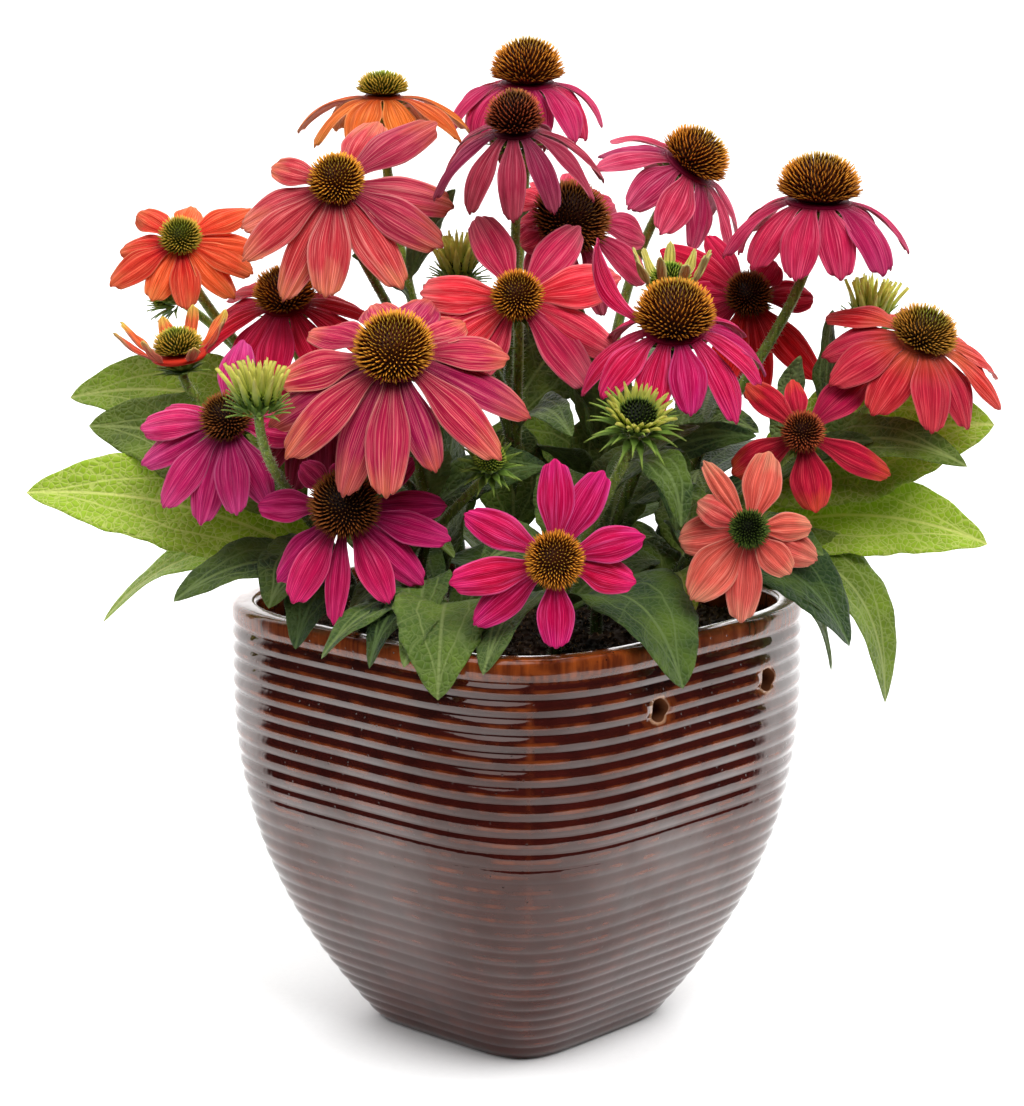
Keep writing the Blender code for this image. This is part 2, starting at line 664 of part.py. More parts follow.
def side_line(stem, share, name):
    """Control points of a side stalk that leaves the stem at a share of its length."""
    ends = stem_line(stem)
    start = bezier(ends, share)
    along = (bezier(ends, share + 0.05) - start).normalized()
    aim = (Vector(goal_of(name).at) - start).normalized()
    return stalk_line(start, (along + aim * 0.6).normalized(), goal_of(name))


def tube(points, radii, collection):
    """A round stalk through points, thinning from the first radius to the second."""
    curve = bpy.data.curves.new("stalk", "CURVE")
    curve.dimensions = "3D"
    curve.bevel_depth = MM
    curve.bevel_resolution = 0
    curve.use_fill_caps = True
    spline = curve.splines.new("POLY")
    spline.points.add(len(points) - 1)
    for i, (slot, point) in enumerate(zip(spline.points, points)):
        slot.co = (*(point * MM), 1)
        slot.radius = radii[0] + (radii[1] - radii[0]) * i / (len(points) - 1)
    holder = bpy.data.objects.new("stalk", curve)
    collection.objects.link(holder)
    mesh = evaluated_mesh(holder)
    remove([holder])
    bmesh.ops.scale(mesh, vec=(1 / MM, 1 / MM, 1 / MM), verts=mesh.verts)
    bmesh.ops.remove_doubles(mesh, verts=mesh.verts, dist=0.001)
    return add_object("stalk", mesh, None, collection)


def leaf_width(share):
    """A leaf's width along its length: a thin stalk, widest before the middle, a drawn-out tip."""
    opened = max(0.0, (share - PETIOLE) / (1 - PETIOLE))
    return 0.09 + 0.91 * max(0.0, math.sin(math.pi * opened**0.74)) ** 0.85


def leaf_blade(leaf):
    base = bezier(stem_line(STEMS[leaf.stem]), leaf.share)
    tip = Vector(leaf.tip)
    along = (tip - base).normalized()
    rise = (UP - along * along.z).normalized()
    crown = (base + tip) / 2 + rise * 2 * leaf.bow
    flat = Matrix.Rotation(math.radians(leaf.roll), 3, along) @ rise.cross(along)
    phase = random.Random(f"leaf {leaf.stem} {leaf.tip}").uniform(0, math.tau)
    sections = []
    for share in LEAF_SHARES:
        rest = 1 - share
        centre = base * rest**2 + crown * 2 * rest * share + tip * share**2
        heading = ((crown - base) * rest + (tip - crown) * share).normalized()
        side = (flat - heading * flat.dot(heading)).normalized()
        half = leaf.width / 2 * leaf_width(share)
        ripple = WAVE * leaf_width(share) * smooth(share * 3)
        lifts = [half * FOLD + ripple * math.sin(phase + 14 * share + turn) for turn in (0, 2)]
        normal = heading.cross(side)
        sections.append((
            centre + side * half + normal * lifts[0],
            centre + normal * LEAF_THICKNESS / 2,
            centre - side * half + normal * lifts[1],
            centre - normal * LEAF_THICKNESS / 2,
        ))
    return blade(sections, tip)


def leafy_stem(name, stem, collection, green):
    """A stem with its side stalks, cups, buds and leaves, as one body."""
    ends = stem_line(stem)
    points = [Vector((*stem.root, COMPOST_TOP - ROOT_DEPTH))]
    points += [bezier(ends, i / (STEM_POINTS - 1)) for i in range(STEM_POINTS)]
    pieces = [tube(points, (STEM_RADIUS, STALK_RADIUS), collection)]
    goals = [stem.top]
    for goal, share in stem.stalks:
        line = side_line(stem, share, goal)
        points = [bezier(line, i / (STALK_POINTS - 1)) for i in range(STALK_POINTS)]
        pieces.append(tube(points, (STALK_RADIUS, STALK_RADIUS), collection))
        goals.append(goal)
    for goal in goals:
        if goal in BUDS:
            pieces += bud_pieces(BUDS[goal], collection)
        else:
            head = goal_of(goal)
            pieces.append(cup(head, 0.62 * head.cone[0] + 1.5, collection))
    for leaf in LEAVES:
        if leaf.stem == name:
            pieces.append(add_object("leaf", leaf_blade(leaf), None, collection))
    return fused("leafy_stem_" + name, pieces, green, collection)


PETAL_COLOURS = {
    "rose": (0.62, 0.07, 0.13),
    "coral": (0.72, 0.14, 0.12),
    "orange": (0.78, 0.2, 0.07),
    "ember": (0.62, 0.16, 0.08),
    "crimson": (0.5, 0.02, 0.05),
    "scarlet": (0.58, 0.05, 0.04),
    "magenta": (0.6, 0.015, 0.14),
    "purple": (0.42, 0.015, 0.13),
    "dusk": (0.4, 0.04, 0.1),
    "plum": (0.3, 0.04, 0.09),
    "straw": (0.75, 0.62, 0.2),
}
CONE_COLOURS = {
    "bronze": (0.3, 0.1, 0.02),
    "gold": (0.35, 0.14, 0.03),
    "wine": (0.14, 0.02, 0.02),
    "umber": (0.08, 0.03, 0.015),
    "moss": (0.16, 0.11, 0.02),
    "lime": (0.2, 0.2, 0.03),
    "green": (0.07, 0.1, 0.02),
}


def main():
    remove(bpy.data.objects)
    plant = bpy.data.collections.new("coneflower in a pot")
    bpy.context.scene.collection.children.link(plant)
    pot(plant)
    compost(plant)
    green = material("leaf green", (0.06, 0.12, 0.03), 0.6)
    for name, stem in STEMS.items():
        leafy_stem(name, stem, plant, green)
    for name, head in HEADS.items():
        petals = material("petal " + head.colour, PETAL_COLOURS[head.colour], 0.6)
        fused(f"bloom_{name}_petals", ray_ring(name, head, plant), petals, plant)
        florets = material("cone " + head.florets, CONE_COLOURS[head.florets], 0.7)
        add_object(f"bloom_{name}_cone", cone_mesh(head, 0), florets, plant)
    for name, head in YOUNG.items():
        pieces = ray_ring(name, head, plant)
        pieces.append(add_object("cone", cone_mesh(head, 1.5), None, plant))
        straw = material("petal " + head.colour, PETAL_COLOURS[head.colour], 0.6)
        fused(f"young_bloom_{name}", pieces, straw, plant)


main()
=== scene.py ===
# %% [markdown]
# # A coneflower plant in a glazed pot
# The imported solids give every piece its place: the pot, the compost, fourteen leafy stems and
# the heads. This notebook gives each of them the surface that the eye expects. It keeps the
# same design values as the solids, in millimetres, so each fine piece grows in the same place.

# %% Load the frame
import json
import math
import random
from collections import namedtuple
from functools import partial

import bmesh
import bpy
import numpy as np
from mathutils import Matrix, Vector, noise

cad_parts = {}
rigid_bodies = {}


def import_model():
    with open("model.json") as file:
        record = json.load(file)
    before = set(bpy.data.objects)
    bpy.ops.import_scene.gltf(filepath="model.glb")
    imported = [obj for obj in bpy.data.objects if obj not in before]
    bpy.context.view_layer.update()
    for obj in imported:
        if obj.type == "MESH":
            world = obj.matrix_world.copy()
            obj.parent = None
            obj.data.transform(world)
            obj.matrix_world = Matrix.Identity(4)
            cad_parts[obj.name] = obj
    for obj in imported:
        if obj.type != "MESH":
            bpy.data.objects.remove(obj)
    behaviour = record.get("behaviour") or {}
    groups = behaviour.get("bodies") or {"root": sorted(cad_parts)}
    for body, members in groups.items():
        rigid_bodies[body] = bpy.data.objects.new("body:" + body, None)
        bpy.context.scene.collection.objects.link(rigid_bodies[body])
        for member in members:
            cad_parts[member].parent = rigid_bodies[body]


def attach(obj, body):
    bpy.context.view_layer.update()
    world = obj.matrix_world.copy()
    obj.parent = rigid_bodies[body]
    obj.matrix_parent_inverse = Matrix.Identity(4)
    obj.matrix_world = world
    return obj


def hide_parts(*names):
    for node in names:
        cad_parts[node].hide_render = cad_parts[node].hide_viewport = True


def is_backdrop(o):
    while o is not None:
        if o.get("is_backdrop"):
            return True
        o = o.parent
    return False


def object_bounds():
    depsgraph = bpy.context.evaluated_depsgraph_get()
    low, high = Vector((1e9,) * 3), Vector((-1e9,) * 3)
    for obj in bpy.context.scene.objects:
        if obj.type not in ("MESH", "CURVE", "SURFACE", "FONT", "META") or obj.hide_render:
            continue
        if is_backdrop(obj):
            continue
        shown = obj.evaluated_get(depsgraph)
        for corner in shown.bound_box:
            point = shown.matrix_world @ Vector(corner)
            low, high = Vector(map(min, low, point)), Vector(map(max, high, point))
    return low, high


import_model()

MM = 0.001
UP = Vector((0, 0, 1))
scene = bpy.context.scene
SOLID_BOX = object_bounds()
print("solids from", SOLID_BOX[0], "to", SOLID_BOX[1])

# %% [markdown]
# ## The camera
# The picture was taken with a long lens from a little above, so upright lines stay nearly
# parallel. A lens is worked out from how many pixels a radian covers, which the size of the pot
# and of the heads gives together.

# %% Camera
PICTURE = (1024, 1106)
LENS_PIXELS = 3000  # pixels a radian
CAMERA_AWAY = 1.154  # m, from the point it looks at
CAMERA_PITCH = math.radians(11)
AIM = Vector((0, 0, 0.185))
SIDE_SHIFT = -5.5  # pixels between the pot's axis and the picture's middle
SENSOR = 36  # mm

lens = bpy.data.cameras.new("camera")
lens.sensor_width = SENSOR
lens.lens = LENS_PIXELS * SENSOR / max(PICTURE)
lens.shift_x = SIDE_SHIFT / max(PICTURE)
camera = bpy.data.objects.new("camera", lens)
sight = Vector((0, math.cos(CAMERA_PITCH), -math.sin(CAMERA_PITCH)))
camera.location = AIM - sight * CAMERA_AWAY
camera.rotation_euler = sight.to_track_quat("-Z", "Y").to_euler()
scene.collection.objects.link(camera)
scene.camera = camera
print("lens", round(lens.lens, 1), "mm")

# %% [markdown]
# ## The plant's plan
# A head has a place, a lean, a cone and a ring of petals, each with a clock angle and a length.
# These are the values that the solids were built from. A natural plant has no two heads alike,
# so they are chosen one by one, and only the small differences between petals are drawn by a
# seeded rule.

# %% Heads, buds, stems and leaves
def even(count, start, length, every_other=0.94):
    """Petals at even steps round the clock, every second one a little shorter."""
    return [(start + 360 * i / count, length * (1, every_other)[i % 2]) for i in range(count)]


# A head stands at `at`. It leans `lean` degrees from upright, towards the compass direction
# `toward`, where -90 is the viewer and 0 the viewer's right. `cone` is its radius and height.
# `petals` is a list of clock angles, as the viewer sees them, with each petal's length from the
# head's middle and, where it differs, a factor on its width and a lift in degrees. `droop` is
# each petal's slope at its root and at its tip.
Head = namedtuple("Head", "at lean toward cone petals width droop colour florets")

HEADS = {
    "01": Head((4, 88, 361), 10, -90, (14.5, 19), even(12, 8, 41), 15, (8, 88), "dusk", "bronze"),
    "02": Head((-1, -4, 347), 20, -95, (10.5, 16), even(11, 4, 43), 10.5, (16, 74), "plum", "wine"),
    "03": Head((-53, 60, 357), 6, -90, (9.5, 9), even(9, 12, 40), 14, (2, 62), "orange", "lime"),
    "04": Head(
        (-68, 2, 326), 52, -88, (10.3, 12),
        [(43, 50), (66, 40), (160, 27, 0.8), (200, 40), (220, 47, 0.8), (247, 50, 0.9),
         (265, 47), (301, 48), (331, 47), (357, 46)],
        16, (2, 22), "coral", "gold",
    ),
    "05": Head(
        (-130, 26, 303), 50, -85, (7.8, 8),
        [(36, 34), (6, 36), (342, 31), (315, 31), (280, 29), (249, 27), (215, 33), (184, 25),
         (137, 24), (78, 22)],
        12, (4, 26), "orange", "lime",
    ),
    "06": Head(
        (-127, -14, 264), 12, -120, (8.8, 10),
        [(5, 25), (40, 28), (75, 27), (110, 25), (165, 28), (200, 29), (235, 25), (300, 20)],
        6, (-42, -52), "ember", "lime",
    ),
    "07": Head(
        (-89, 16, 280), 26, -100, (11.8, 15), even(11, 2, 42), 14, (8, 52), "crimson", "bronze",
    ),
    "08": Head(
        (-44, -66, 270), 46, -92, (14.6, 16),
        [(186, 45), (202, 54), (223, 55), (247, 56), (266, 55), (288, 47, 0.85), (317, 55),
         (343, 56), (8, 44), (42, 36), (72, 36), (104, 38), (146, 40)],
        16, (8, 38), "rose", "gold",
    ),
    "09": Head(
        (0, -26, 286), 64, -92, (9.3, 11),
        [(112, 38), (53, 40), (13, 40, 1.15), (334, 42), (311, 43), (244, 33, 0.7),
         (218, 38, 0.8), (198, 40), (174, 37)],
        15, (4, 16), "rose", "bronze",
    ),
    "10": Head(
        (20, 34, 309), 56, -72, (15.5, 14),
        [(10, 41), (43, 40), (76, 36), (109, 31), (142, 26), (175, 20), (208, 22), (240, 29),
         (272, 40), (305, 42), (338, 42)],
        14, (14, 54), "rose", "umber",
    ),
    "11": Head((69, 80, 328), 38, -28, (14, 17), even(11, 5, 42), 14.5, (14, 62), "dusk", "bronze"),
    "12": Head(
        (115, 18, 319), 9, -80, (16, 19), even(12, 10, 46), 15, (16, 76), "magenta", "bronze",
    ),
    "13": Head(
        (57, -48, 278), 24, -92, (14.8, 19),
        [(160, 52, 0.9, 170)] + even(12, 190, 46, 0.88)[:-1], 14, (14, 70), "magenta", "bronze",
    ),
    "15": Head(
        (90, 34, 280), 60, -90, (9, 10),
        [(144, 42), (116, 36, 0.7), (56, 20), (8, 28), (309, 43), (276, 43), (250, 40),
         (210, 32), (178, 26)],
        14, (4, 22), "crimson", "umber",
    ),
    "16": Head(
        (152, -10, 269), 32, -62, (12.4, 12), even(11, 14, 43), 16, (6, 58), "scarlet", "moss",
    ),
    "18": Head(
        (106, -30, 236), 66, -92, (7.5, 8),
        [(46, 36), (98, 24, 0.6), (132, 30, 0.8), (207, 31), (279, 30, 1.1), (337, 38, 0.8)],
        14, (4, 24), "crimson", "wine",
    ),
    "19": Head(
        (83, -74, 208), 76, -92, (6.6, 6.5),
        [(121, 30, 0.6), (72, 30, 1.1), (5, 23, 0.8), (337, 28), (312, 22, 0.9), (265, 34),
         (228, 33, 1.3), (186, 26, 1.2), (150, 21, 0.9)],
        13, (2, 12), "coral", "dusky",
    ),
    "20": Head(
        (13, -106, 203), 74, -90, (10, 8),
        [(88, 36), (63, 37), (17, 33), (345, 30), (271, 31), (216, 37), (194, 38), (150, 37)],
        13, (2, 12), "magenta", "bronze",
    ),
    "21": Head(
        (-62, -68, 215), 60, -92, (13, 12),
        [(175, 33), (223, 37), (240, 40), (264, 43, 0.7), (295, 39), (316, 40), (342, 40),
         (4, 38), (40, 32), (96, 24, 0.8, -25), (132, 28, 0.8, -25)],
        12.5, (4, 20), "purple", "umber",
    ),
    "22": Head(
        (-106, -45, 243), 52, -104, (9.4, 10),
        [(88, 38), (152, 33, 0.5), (172, 36), (191, 39), (228, 40), (250, 40), (274, 38),
         (295, 36), (345, 30)],
        13, (4, 24), "purple", "umber",
    ),
    "24": Head(
        (-72, -36, 251), 48, -100, (9, 9),
        [(182, 26), (204, 30), (226, 36), (248, 38), (272, 34), (304, 28), (50, 20), (95, 20),
         (140, 24)],
        13, (6, 40), "crimson", "umber",
    ),
}

# A young head: its rays still stand up round a green cone, and it is one piece.
YOUNG = {
    "14": Head(
        (58, 6, 288), 8, -80, (7.6, 10), even(9, 10, 24), 4.2, (-58, -66), "straw", "green",
    ),
}

ALL_HEADS = HEADS | YOUNG


def solid_of(name, part):
    """The node that a piece of a head stands for. A young head is one node."""
    return f"bloom_{name}_{part}" if name in HEADS else f"young_bloom_{name}"


# A bud on its stalk: place, lean, direction, radius, height, number and length of its rays.
Bud = namedtuple("Bud", "at lean toward radius height rays length")
BUDS = {
    "17": Bud((139, 44, 275), 10, -60, 7, 7, 8, 11),
    "23": Bud((-92, -78, 258), 6, -90, 7.5, 6, 8, 11),
    "25": Bud((43, -76, 250), 36, -80, 7.5, 7, 0, 0),
    "26": Bud((-10, -64, 233), 50, -90, 5, 5, 0, 0),
    "27": Bud((-23, 14, 295), 10, -100, 6, 8, 5, 12),
    "28": Bud((-141, 54, 280), 60, 200, 6, 6, 0, 0),
    "29": Bud((-15, -14, 269), 40, -110, 6, 6, 0, 0),
}
GOALS = ALL_HEADS | BUDS

# A leafy stem: where it stands in the compost, the head or bud at its top, and side stalks as
# pairs of a head or bud and the share of the stem's length where its stalk leaves.
Stem = namedtuple("Stem", "root top stalks")
STEMS = {
    "01": Stem((-8, 30), "01", [("02", 0.3)]),
    "02": Stem((-22, 34), "03", [("04", 0.35)]),
    "03": Stem((-52, 22), "05", [("28", 0.5)]),
    "04": Stem((-46, -6), "07", [("06", 0.4)]),
    "05": Stem((-28, -30), "08", [("24", 0.4)]),
    "06": Stem((-2, -6), "09", [("27", 0.5), ("29", 0.4)]),
    "07": Stem((30, 30), "11", [("10", 0.4)]),
    "08": Stem((50, 12), "12", [("15", 0.4)]),
    "09": Stem((30, -16), "13", [("14", 0.4)]),
    "10": Stem((64, 0), "16", [("17", 0.4)]),
    "11": Stem((52, -30), "18", [("19", 0.3)]),
    "12": Stem((14, -48), "25", [("20", 0.3)]),
    "13": Stem((-20, -56), "21", [("26", 0.4)]),
    "14": Stem((-58, -28), "22", [("23", 0.3)]),
}

# A leaf: its stem, the share of the stem's length where it grows, its tip, its width, how far it
# bows upwards, and its roll about its length. A leaf that points left shows its face to the viewer
# with a negative roll, and one that points right with a positive roll.
Leaf = namedtuple("Leaf", "stem share tip width bow roll")
SIDE_LEAVES = [
    Leaf("14", 0.24, (-184.9, -20, 212), 30, 10, -58),
    Leaf("14", 0.42, (-163, -4, 235), 29, 12, -60),
    Leaf("03", 0.40, (-177, 44, 239), 26, 10, -55),
    Leaf("14", 0.20, (-126, -58, 178), 17, 12, -30),
    Leaf("14", 0.17, (-160, -2, 158), 16, 22, -30),
    Leaf("10", 0.34, (183.9, 12, 233), 37, 10, 58),
    Leaf("10", 0.45, (168, -27, 223), 16, 14, 48),
    Leaf("10", 0.22, (181, 2, 188), 29, 12, 55),
    Leaf("11", 0.24, (123, -48, 159), 27, 18, 25),
    Leaf("10", 0.17, (140, -22, 131), 22, 30, 30),
    Leaf("11", 0.17, (118, -34, 146), 14, 26, 20),
]
FRONT_LEAVES = [
    Leaf("12", 0.14, (59, -90, 153), 33, 20, 6),
    Leaf("13", 0.18, (-28, -107, 153), 27, 20, 0),
    Leaf("12", 0.17, (-12, -111, 163), 18, 15, 8),
    Leaf("13", 0.20, (-53, -88, 160), 12, 16, -14),
    Leaf("14", 0.14, (-81, -66, 162), 17, 14, -8),
    Leaf("11", 0.20, (62, -64, 170), 12, 12, 10),
    Leaf("13", 0.35, (-35, -82, 170), 16, 12, 10),
    Leaf("13", 0.50, (-23, -66, 196), 12, 8, 0),
    Leaf("14", 0.30, (-91, -60, 176), 20, 10, -20),
    Leaf("13", 0.25, (-61, -66, 176), 18, 10, -10),
    Leaf("12", 0.30, (-13, -80, 196), 16, 8, -40),
    Leaf("11", 0.30, (61, -62, 199), 16, 6, -30),
    Leaf("11", 0.34, (113, -46, 193), 15, 8, 40),
]
INNER_LEAVES = [
    Leaf("09", 0.60, (58, -56, 204), 14, 12, 20),
    Leaf("09", 0.50, (89, -30, 235), 12, 6, 70),
    Leaf("02", 0.62, (-24, 34, 322), 11, 4, -20),
    Leaf("02", 0.58, (-64, 24, 297), 9, 4, -60),
    Leaf("01", 0.72, (12, 62, 322), 12, 4, 0),
    Leaf("10", 0.62, (122, 26, 276), 12, 8, -50),
    Leaf("10", 0.50, (107, -4, 262), 13, 4, 0),
    Leaf("10", 0.42, (134, -16, 231), 13, 6, 50),
    Leaf("07", 0.30, (26, 8, 268), 17, 6, 0),
    Leaf("06", 0.50, (20, -50, 238), 15, 10, 30),
    Leaf("09", 0.30, (70, -52, 214), 16, 10, 30),
    Leaf("05", 0.40, (-30, -60, 235), 15, 8, -20),
    Leaf("08", 0.35, (92, -2, 232), 16, 10, 40),
    Leaf("07", 0.20, (8, -8, 228), 18, 6, 0),
    Leaf("01", 0.30, (30, 78, 264), 32, 8, 50),
    Leaf("07", 0.22, (55, 52, 238), 28, 8, 50),
    Leaf("07", 0.20, (-15, 34, 224), 28, 10, -50),
    Leaf("02", 0.12, (-50, 48, 210), 26, 8, -50),
    Leaf("09", 0.10, (52, -14, 194), 22, 12, 35),
    Leaf("05", 0.40, (11, -40, 225), 19, 6, 50),
    Leaf("12", 0.80, (58, -86, 211), 15, 12, 20),
]
# Leaves deep inside the plant, which close the gaps between the stems.
DEEP_LEAVES = [
    Leaf("02", 0.16, (-19, 40, 242), 26, 6, 0),
    Leaf("06", 0.22, (-1, 10, 235), 26, 6, 12),
    Leaf("07", 0.30, (17, 50, 256), 26, 6, -10),
    Leaf("08", 0.28, (34, 30, 241), 26, 6, 0),
    Leaf("09", 0.24, (47, 10, 227), 24, 6, 10),
    Leaf("08", 0.22, (68, 40, 238), 24, 6, 0),
    Leaf("04", 0.24, (-30, 20, 229), 24, 6, -8),
    Leaf("06", 0.10, (-45, 0, 202), 22, 6, 0),
    Leaf("09", 0.12, (15, -10, 219), 26, 6, 6),
    Leaf("11", 0.10, (36, 0, 198), 26, 6, 0),
    Leaf("11", 0.28, (70, 10, 216), 24, 6, -12),
    Leaf("11", 0.12, (88, 10, 192), 26, 6, 20),
    Leaf("13", 0.26, (-60, -10, 184), 22, 10, -20),
    Leaf("04", 0.10, (-78, 20, 202), 24, 6, 0),
    Leaf("14", 0.12, (-108, 0, 182), 20, 6, -30),
    Leaf("05", 0.14, (-14, -20, 221), 24, 6, 0),
    Leaf("12", 0.10, (54, -20, 186), 24, 8, 20),
    Leaf("04", 0.32, (-74, 40, 231), 22, 6, 0),
    Leaf("07", 0.34, (33, 70, 263), 24, 6, 0),
    Leaf("10", 0.14, (95, 30, 212), 24, 6, 0),
    Leaf("13", 0.10, (1, -30, 188), 22, 8, 0),
    Leaf("12", 0.10, (-29, -30, 188), 22, 8, -20),
    Leaf("11", 0.18, (109, 0, 182), 22, 8, 30),
    Leaf("11", 0.20, (124, -45, 161), 24, 16, 20),
    Leaf("13", 0.14, (-70, -90, 164), 14, 14, -10),
    Leaf("13", 0.12, (-40, -104, 164), 16, 14, 0),
    Leaf("12", 0.55, (67, -44, 241), 18, 6, 10),
    Leaf("12", 0.30, (10, -34, 225), 24, 8, -20),
]
BACK_LEAVES = [
    Leaf("03", 0.25, (-128, 92, 205), 26, 14, 0),
    Leaf("02", 0.20, (-70, 130, 190), 28, 18, 0),
    Leaf("01", 0.20, (-8, 147.9, 196), 28, 18, 0),
    Leaf("07", 0.20, (66, 135, 188), 28, 18, 0),
    Leaf("08", 0.25, (130, 92, 205), 26, 14, 0),
    Leaf("02", 0.45, (-60, 124, 248), 22, 12, 0),
    Leaf("01", 0.45, (30, 142, 250), 22, 12, 0),
    Leaf("07", 0.45, (104, 120, 246), 22, 12, 0),
    Leaf("10", 0.30, (158, 66, 220), 26, 12, 0),
    Leaf("03", 0.12, (-104, 70, 168), 22, 16, 0),
    Leaf("02", 0.10, (-44, 104, 170), 24, 18, 0),
    Leaf("01", 0.10, (26, 112, 172), 24, 18, 0),
    Leaf("07", 0.12, (92, 96, 170), 24, 18, 0),
    Leaf("10", 0.12, (118, 50, 168), 22, 16, 0),
    Leaf("01", 0.34, (-40, 104, 236), 24, 10, 0),
    Leaf("08", 0.36, (84, 88, 240), 24, 10, 0),
]
LEAVES = SIDE_LEAVES + FRONT_LEAVES + INNER_LEAVES + DEEP_LEAVES + BACK_LEAVES
print(len(ALL_HEADS), "heads,", len(BUDS), "buds,", len(STEMS), "stems and", len(LEAVES), "leaves")

# %% [markdown]
# ## Small tools for meshes
# A mesh here starts as arrays of points in millimetres and of faces. `Patches` collects many
# blades and tubes into one mesh, with values on every point that the materials read: where the
# point is across and along its blade, and which face of the blade it is on.

# %% Mesh tools
def smooth(x):
    """An ease from 0 to 1 that is level at both ends."""
    x = np.clip(x, 0, 1)
    return x * x * (3 - 2 * x)


def unit(rows):
    return rows / np.maximum(np.linalg.norm(rows, axis=-1, keepdims=True), 1e-9)


class Patches:
    """Points, faces and point values of many pieces, gathered for one mesh."""

    def __init__(self):
        self.points, self.faces, self.values, self.count = [], [], {}, 0

    def add(self, points, faces, **values):
        points = np.asarray(points, float).reshape(-1, 3)
        self.points.append(points)
        self.faces += [np.asarray(group, int) + self.count for group in faces]
        for name, value in values.items():
            rows = np.broadcast_to(np.asarray(value, float), (len(points), 3))
            self.values.setdefault(name, []).append(rows)
        self.count += len(points)

    def mesh(self, name):
        made = bpy.data.meshes.new(name)
        faces = [face for group in self.faces for face in group.tolist()]
        made.from_pydata((np.concatenate(self.points) * MM).tolist(), [], faces)
        for label, rows in self.values.items():
            layer = made.attributes.new(label, "FLOAT_VECTOR", "POINT")
            layer.data.foreach_set("vector", np.concatenate(rows).astype(np.float32).ravel())
        made.shade_smooth()
        return made


def grid_faces(rows, columns):
    """Quads between rows of points whose ends are joined, facing out where rows rise."""
    i, j = np.meshgrid(np.arange(rows - 1), np.arange(columns), indexing="ij")
    k = (j + 1) % columns
    corners = (i * columns + j, i * columns + k, (i + 1) * columns + k, (i + 1) * columns + j)
    return np.stack(corners, -1).reshape(-1, 4)


def turned(profile, sides):
    """Rings of points round Z, one for each pair of a radius and a height."""
    turns = np.linspace(0, math.tau, sides, endpoint=False)
    return np.array([[(r * math.cos(a), r * math.sin(a), z) for a in turns] for r, z in profile])


def closed_faces(rows, columns):
    """The faces of a solid made of rings: its wall and its two ends."""
    ring = np.arange(columns)[None]
    return [grid_faces(rows, columns), ring[:, ::-1], ring + columns * (rows - 1)]


def triangles(mesh):
    return sum(len(face.vertices) - 2 for face in mesh.polygons)


def plain_mesh(holder):
    """The mesh that an object's modifiers make of it. The object itself is removed."""
    graph = bpy.context.evaluated_depsgraph_get()
    made = bpy.data.meshes.new_from_object(
        holder.evaluated_get(graph), preserve_all_data_layers=True, depsgraph=graph
    )
    bpy.data.objects.remove(holder)
    return made


def show(name, mesh, surface, slot, *nodes):
    """A finished piece that rides on the plant, and stands for the solids named last."""
    mesh.materials.clear()
    mesh.materials.append(surface)
    mesh.polygons.foreach_set("material_index", [0] * len(mesh.polygons))
    piece = bpy.data.objects.new(name, mesh)
    scene.collection.objects.link(piece)
    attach(piece, "root")
    if nodes:
        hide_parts(*nodes)
    return piece


# %% [markdown]
# ## Small tools for nodes
# Materials and Geometry Nodes are both trees of nodes. One function adds a node, sets its
# properties and fills its inputs in order, with numbers or with links from other nodes. Its kind
# is Blender's own name without the family, as in "Math MULTIPLY" or "Mix RGBA". Colours are given
# as the sRGB codes that a paint shop uses, and turned to the linear values that Blender mixes.

# %% Node tools
FAMILIES = ("GeometryNode", "FunctionNode", "ShaderNode", "Node")


def colour(code):
    """The linear value of an sRGB hex colour."""
    shares = [int(code[i : i + 2], 16) / 255 for i in (1, 3, 5)]
    return (*(s / 12.92 if s <= 0.04045 else ((s + 0.055) / 1.055) ** 2.4 for s in shares), 1)


def add(tree, kind, *inputs, named=None, **settings):
    """Adds a node of a kind, and after a space its operation or else its type of data.

    An input is a number, a colour code, a node or one of its outputs, or None to leave it."""
    kind, _, mode = kind.partition(" ")
    kind = next(family + kind for family in FAMILIES if hasattr(bpy.types, family + kind))
    node = tree.nodes.new(kind)
    if mode:
        settings["operation" if hasattr(node, "operation") else "data_type"] = mode
    for key, value in settings.items():
        setattr(node, key, value)
    pairs = list(zip([socket for socket in node.inputs if socket.enabled], inputs))
    pairs += [(node.inputs[key], value) for key, value in (named or {}).items()]
    for socket, value in pairs:
        if isinstance(value, bpy.types.Node):
            value = next(output for output in value.outputs if output.enabled)
        if isinstance(value, bpy.types.NodeSocket):
            tree.links.new(value, socket)
        elif value is not None:
            coded = isinstance(value, str) and value.startswith("#")
            socket.default_value = colour(value) if coded else value
    return node


def point_values(n, name):
    """The three numbers that every point of a mesh holds under a name."""
    return n("SeparateXYZ", n("Attribute", attribute_name=name).outputs["Vector"]).outputs


def new_material(name):
    """An empty material, and a function that adds a node to it."""
    made = bpy.data.materials.new(name)
    made.use_nodes = True
    made.node_tree.nodes.clear()
    return made, partial(add, made.node_tree)


SOCKETS = {int: "NodeSocketInt", float: "NodeSocketFloat", "object": "NodeSocketObject"}


def geometry_tree(name, inputs):
    """A tree that takes a mesh, named inputs and a material, and a function that adds a node."""
    tree = bpy.data.node_groups.new(name, "GeometryNodeTree")
    sockets = [("Geometry", "NodeSocketGeometry"), ("Material", "NodeSocketMaterial")]
    sockets += [(label, SOCKETS[kind]) for label, kind in inputs.items()]
    for label, kind in sockets:
        tree.interface.new_socket(label, in_out="INPUT", socket_type=kind)
    tree.interface.new_socket("Geometry", in_out="OUTPUT", socket_type="NodeSocketGeometry")
    given = tree.nodes.new("NodeGroupInput").outputs
    return tree, partial(add, tree), given


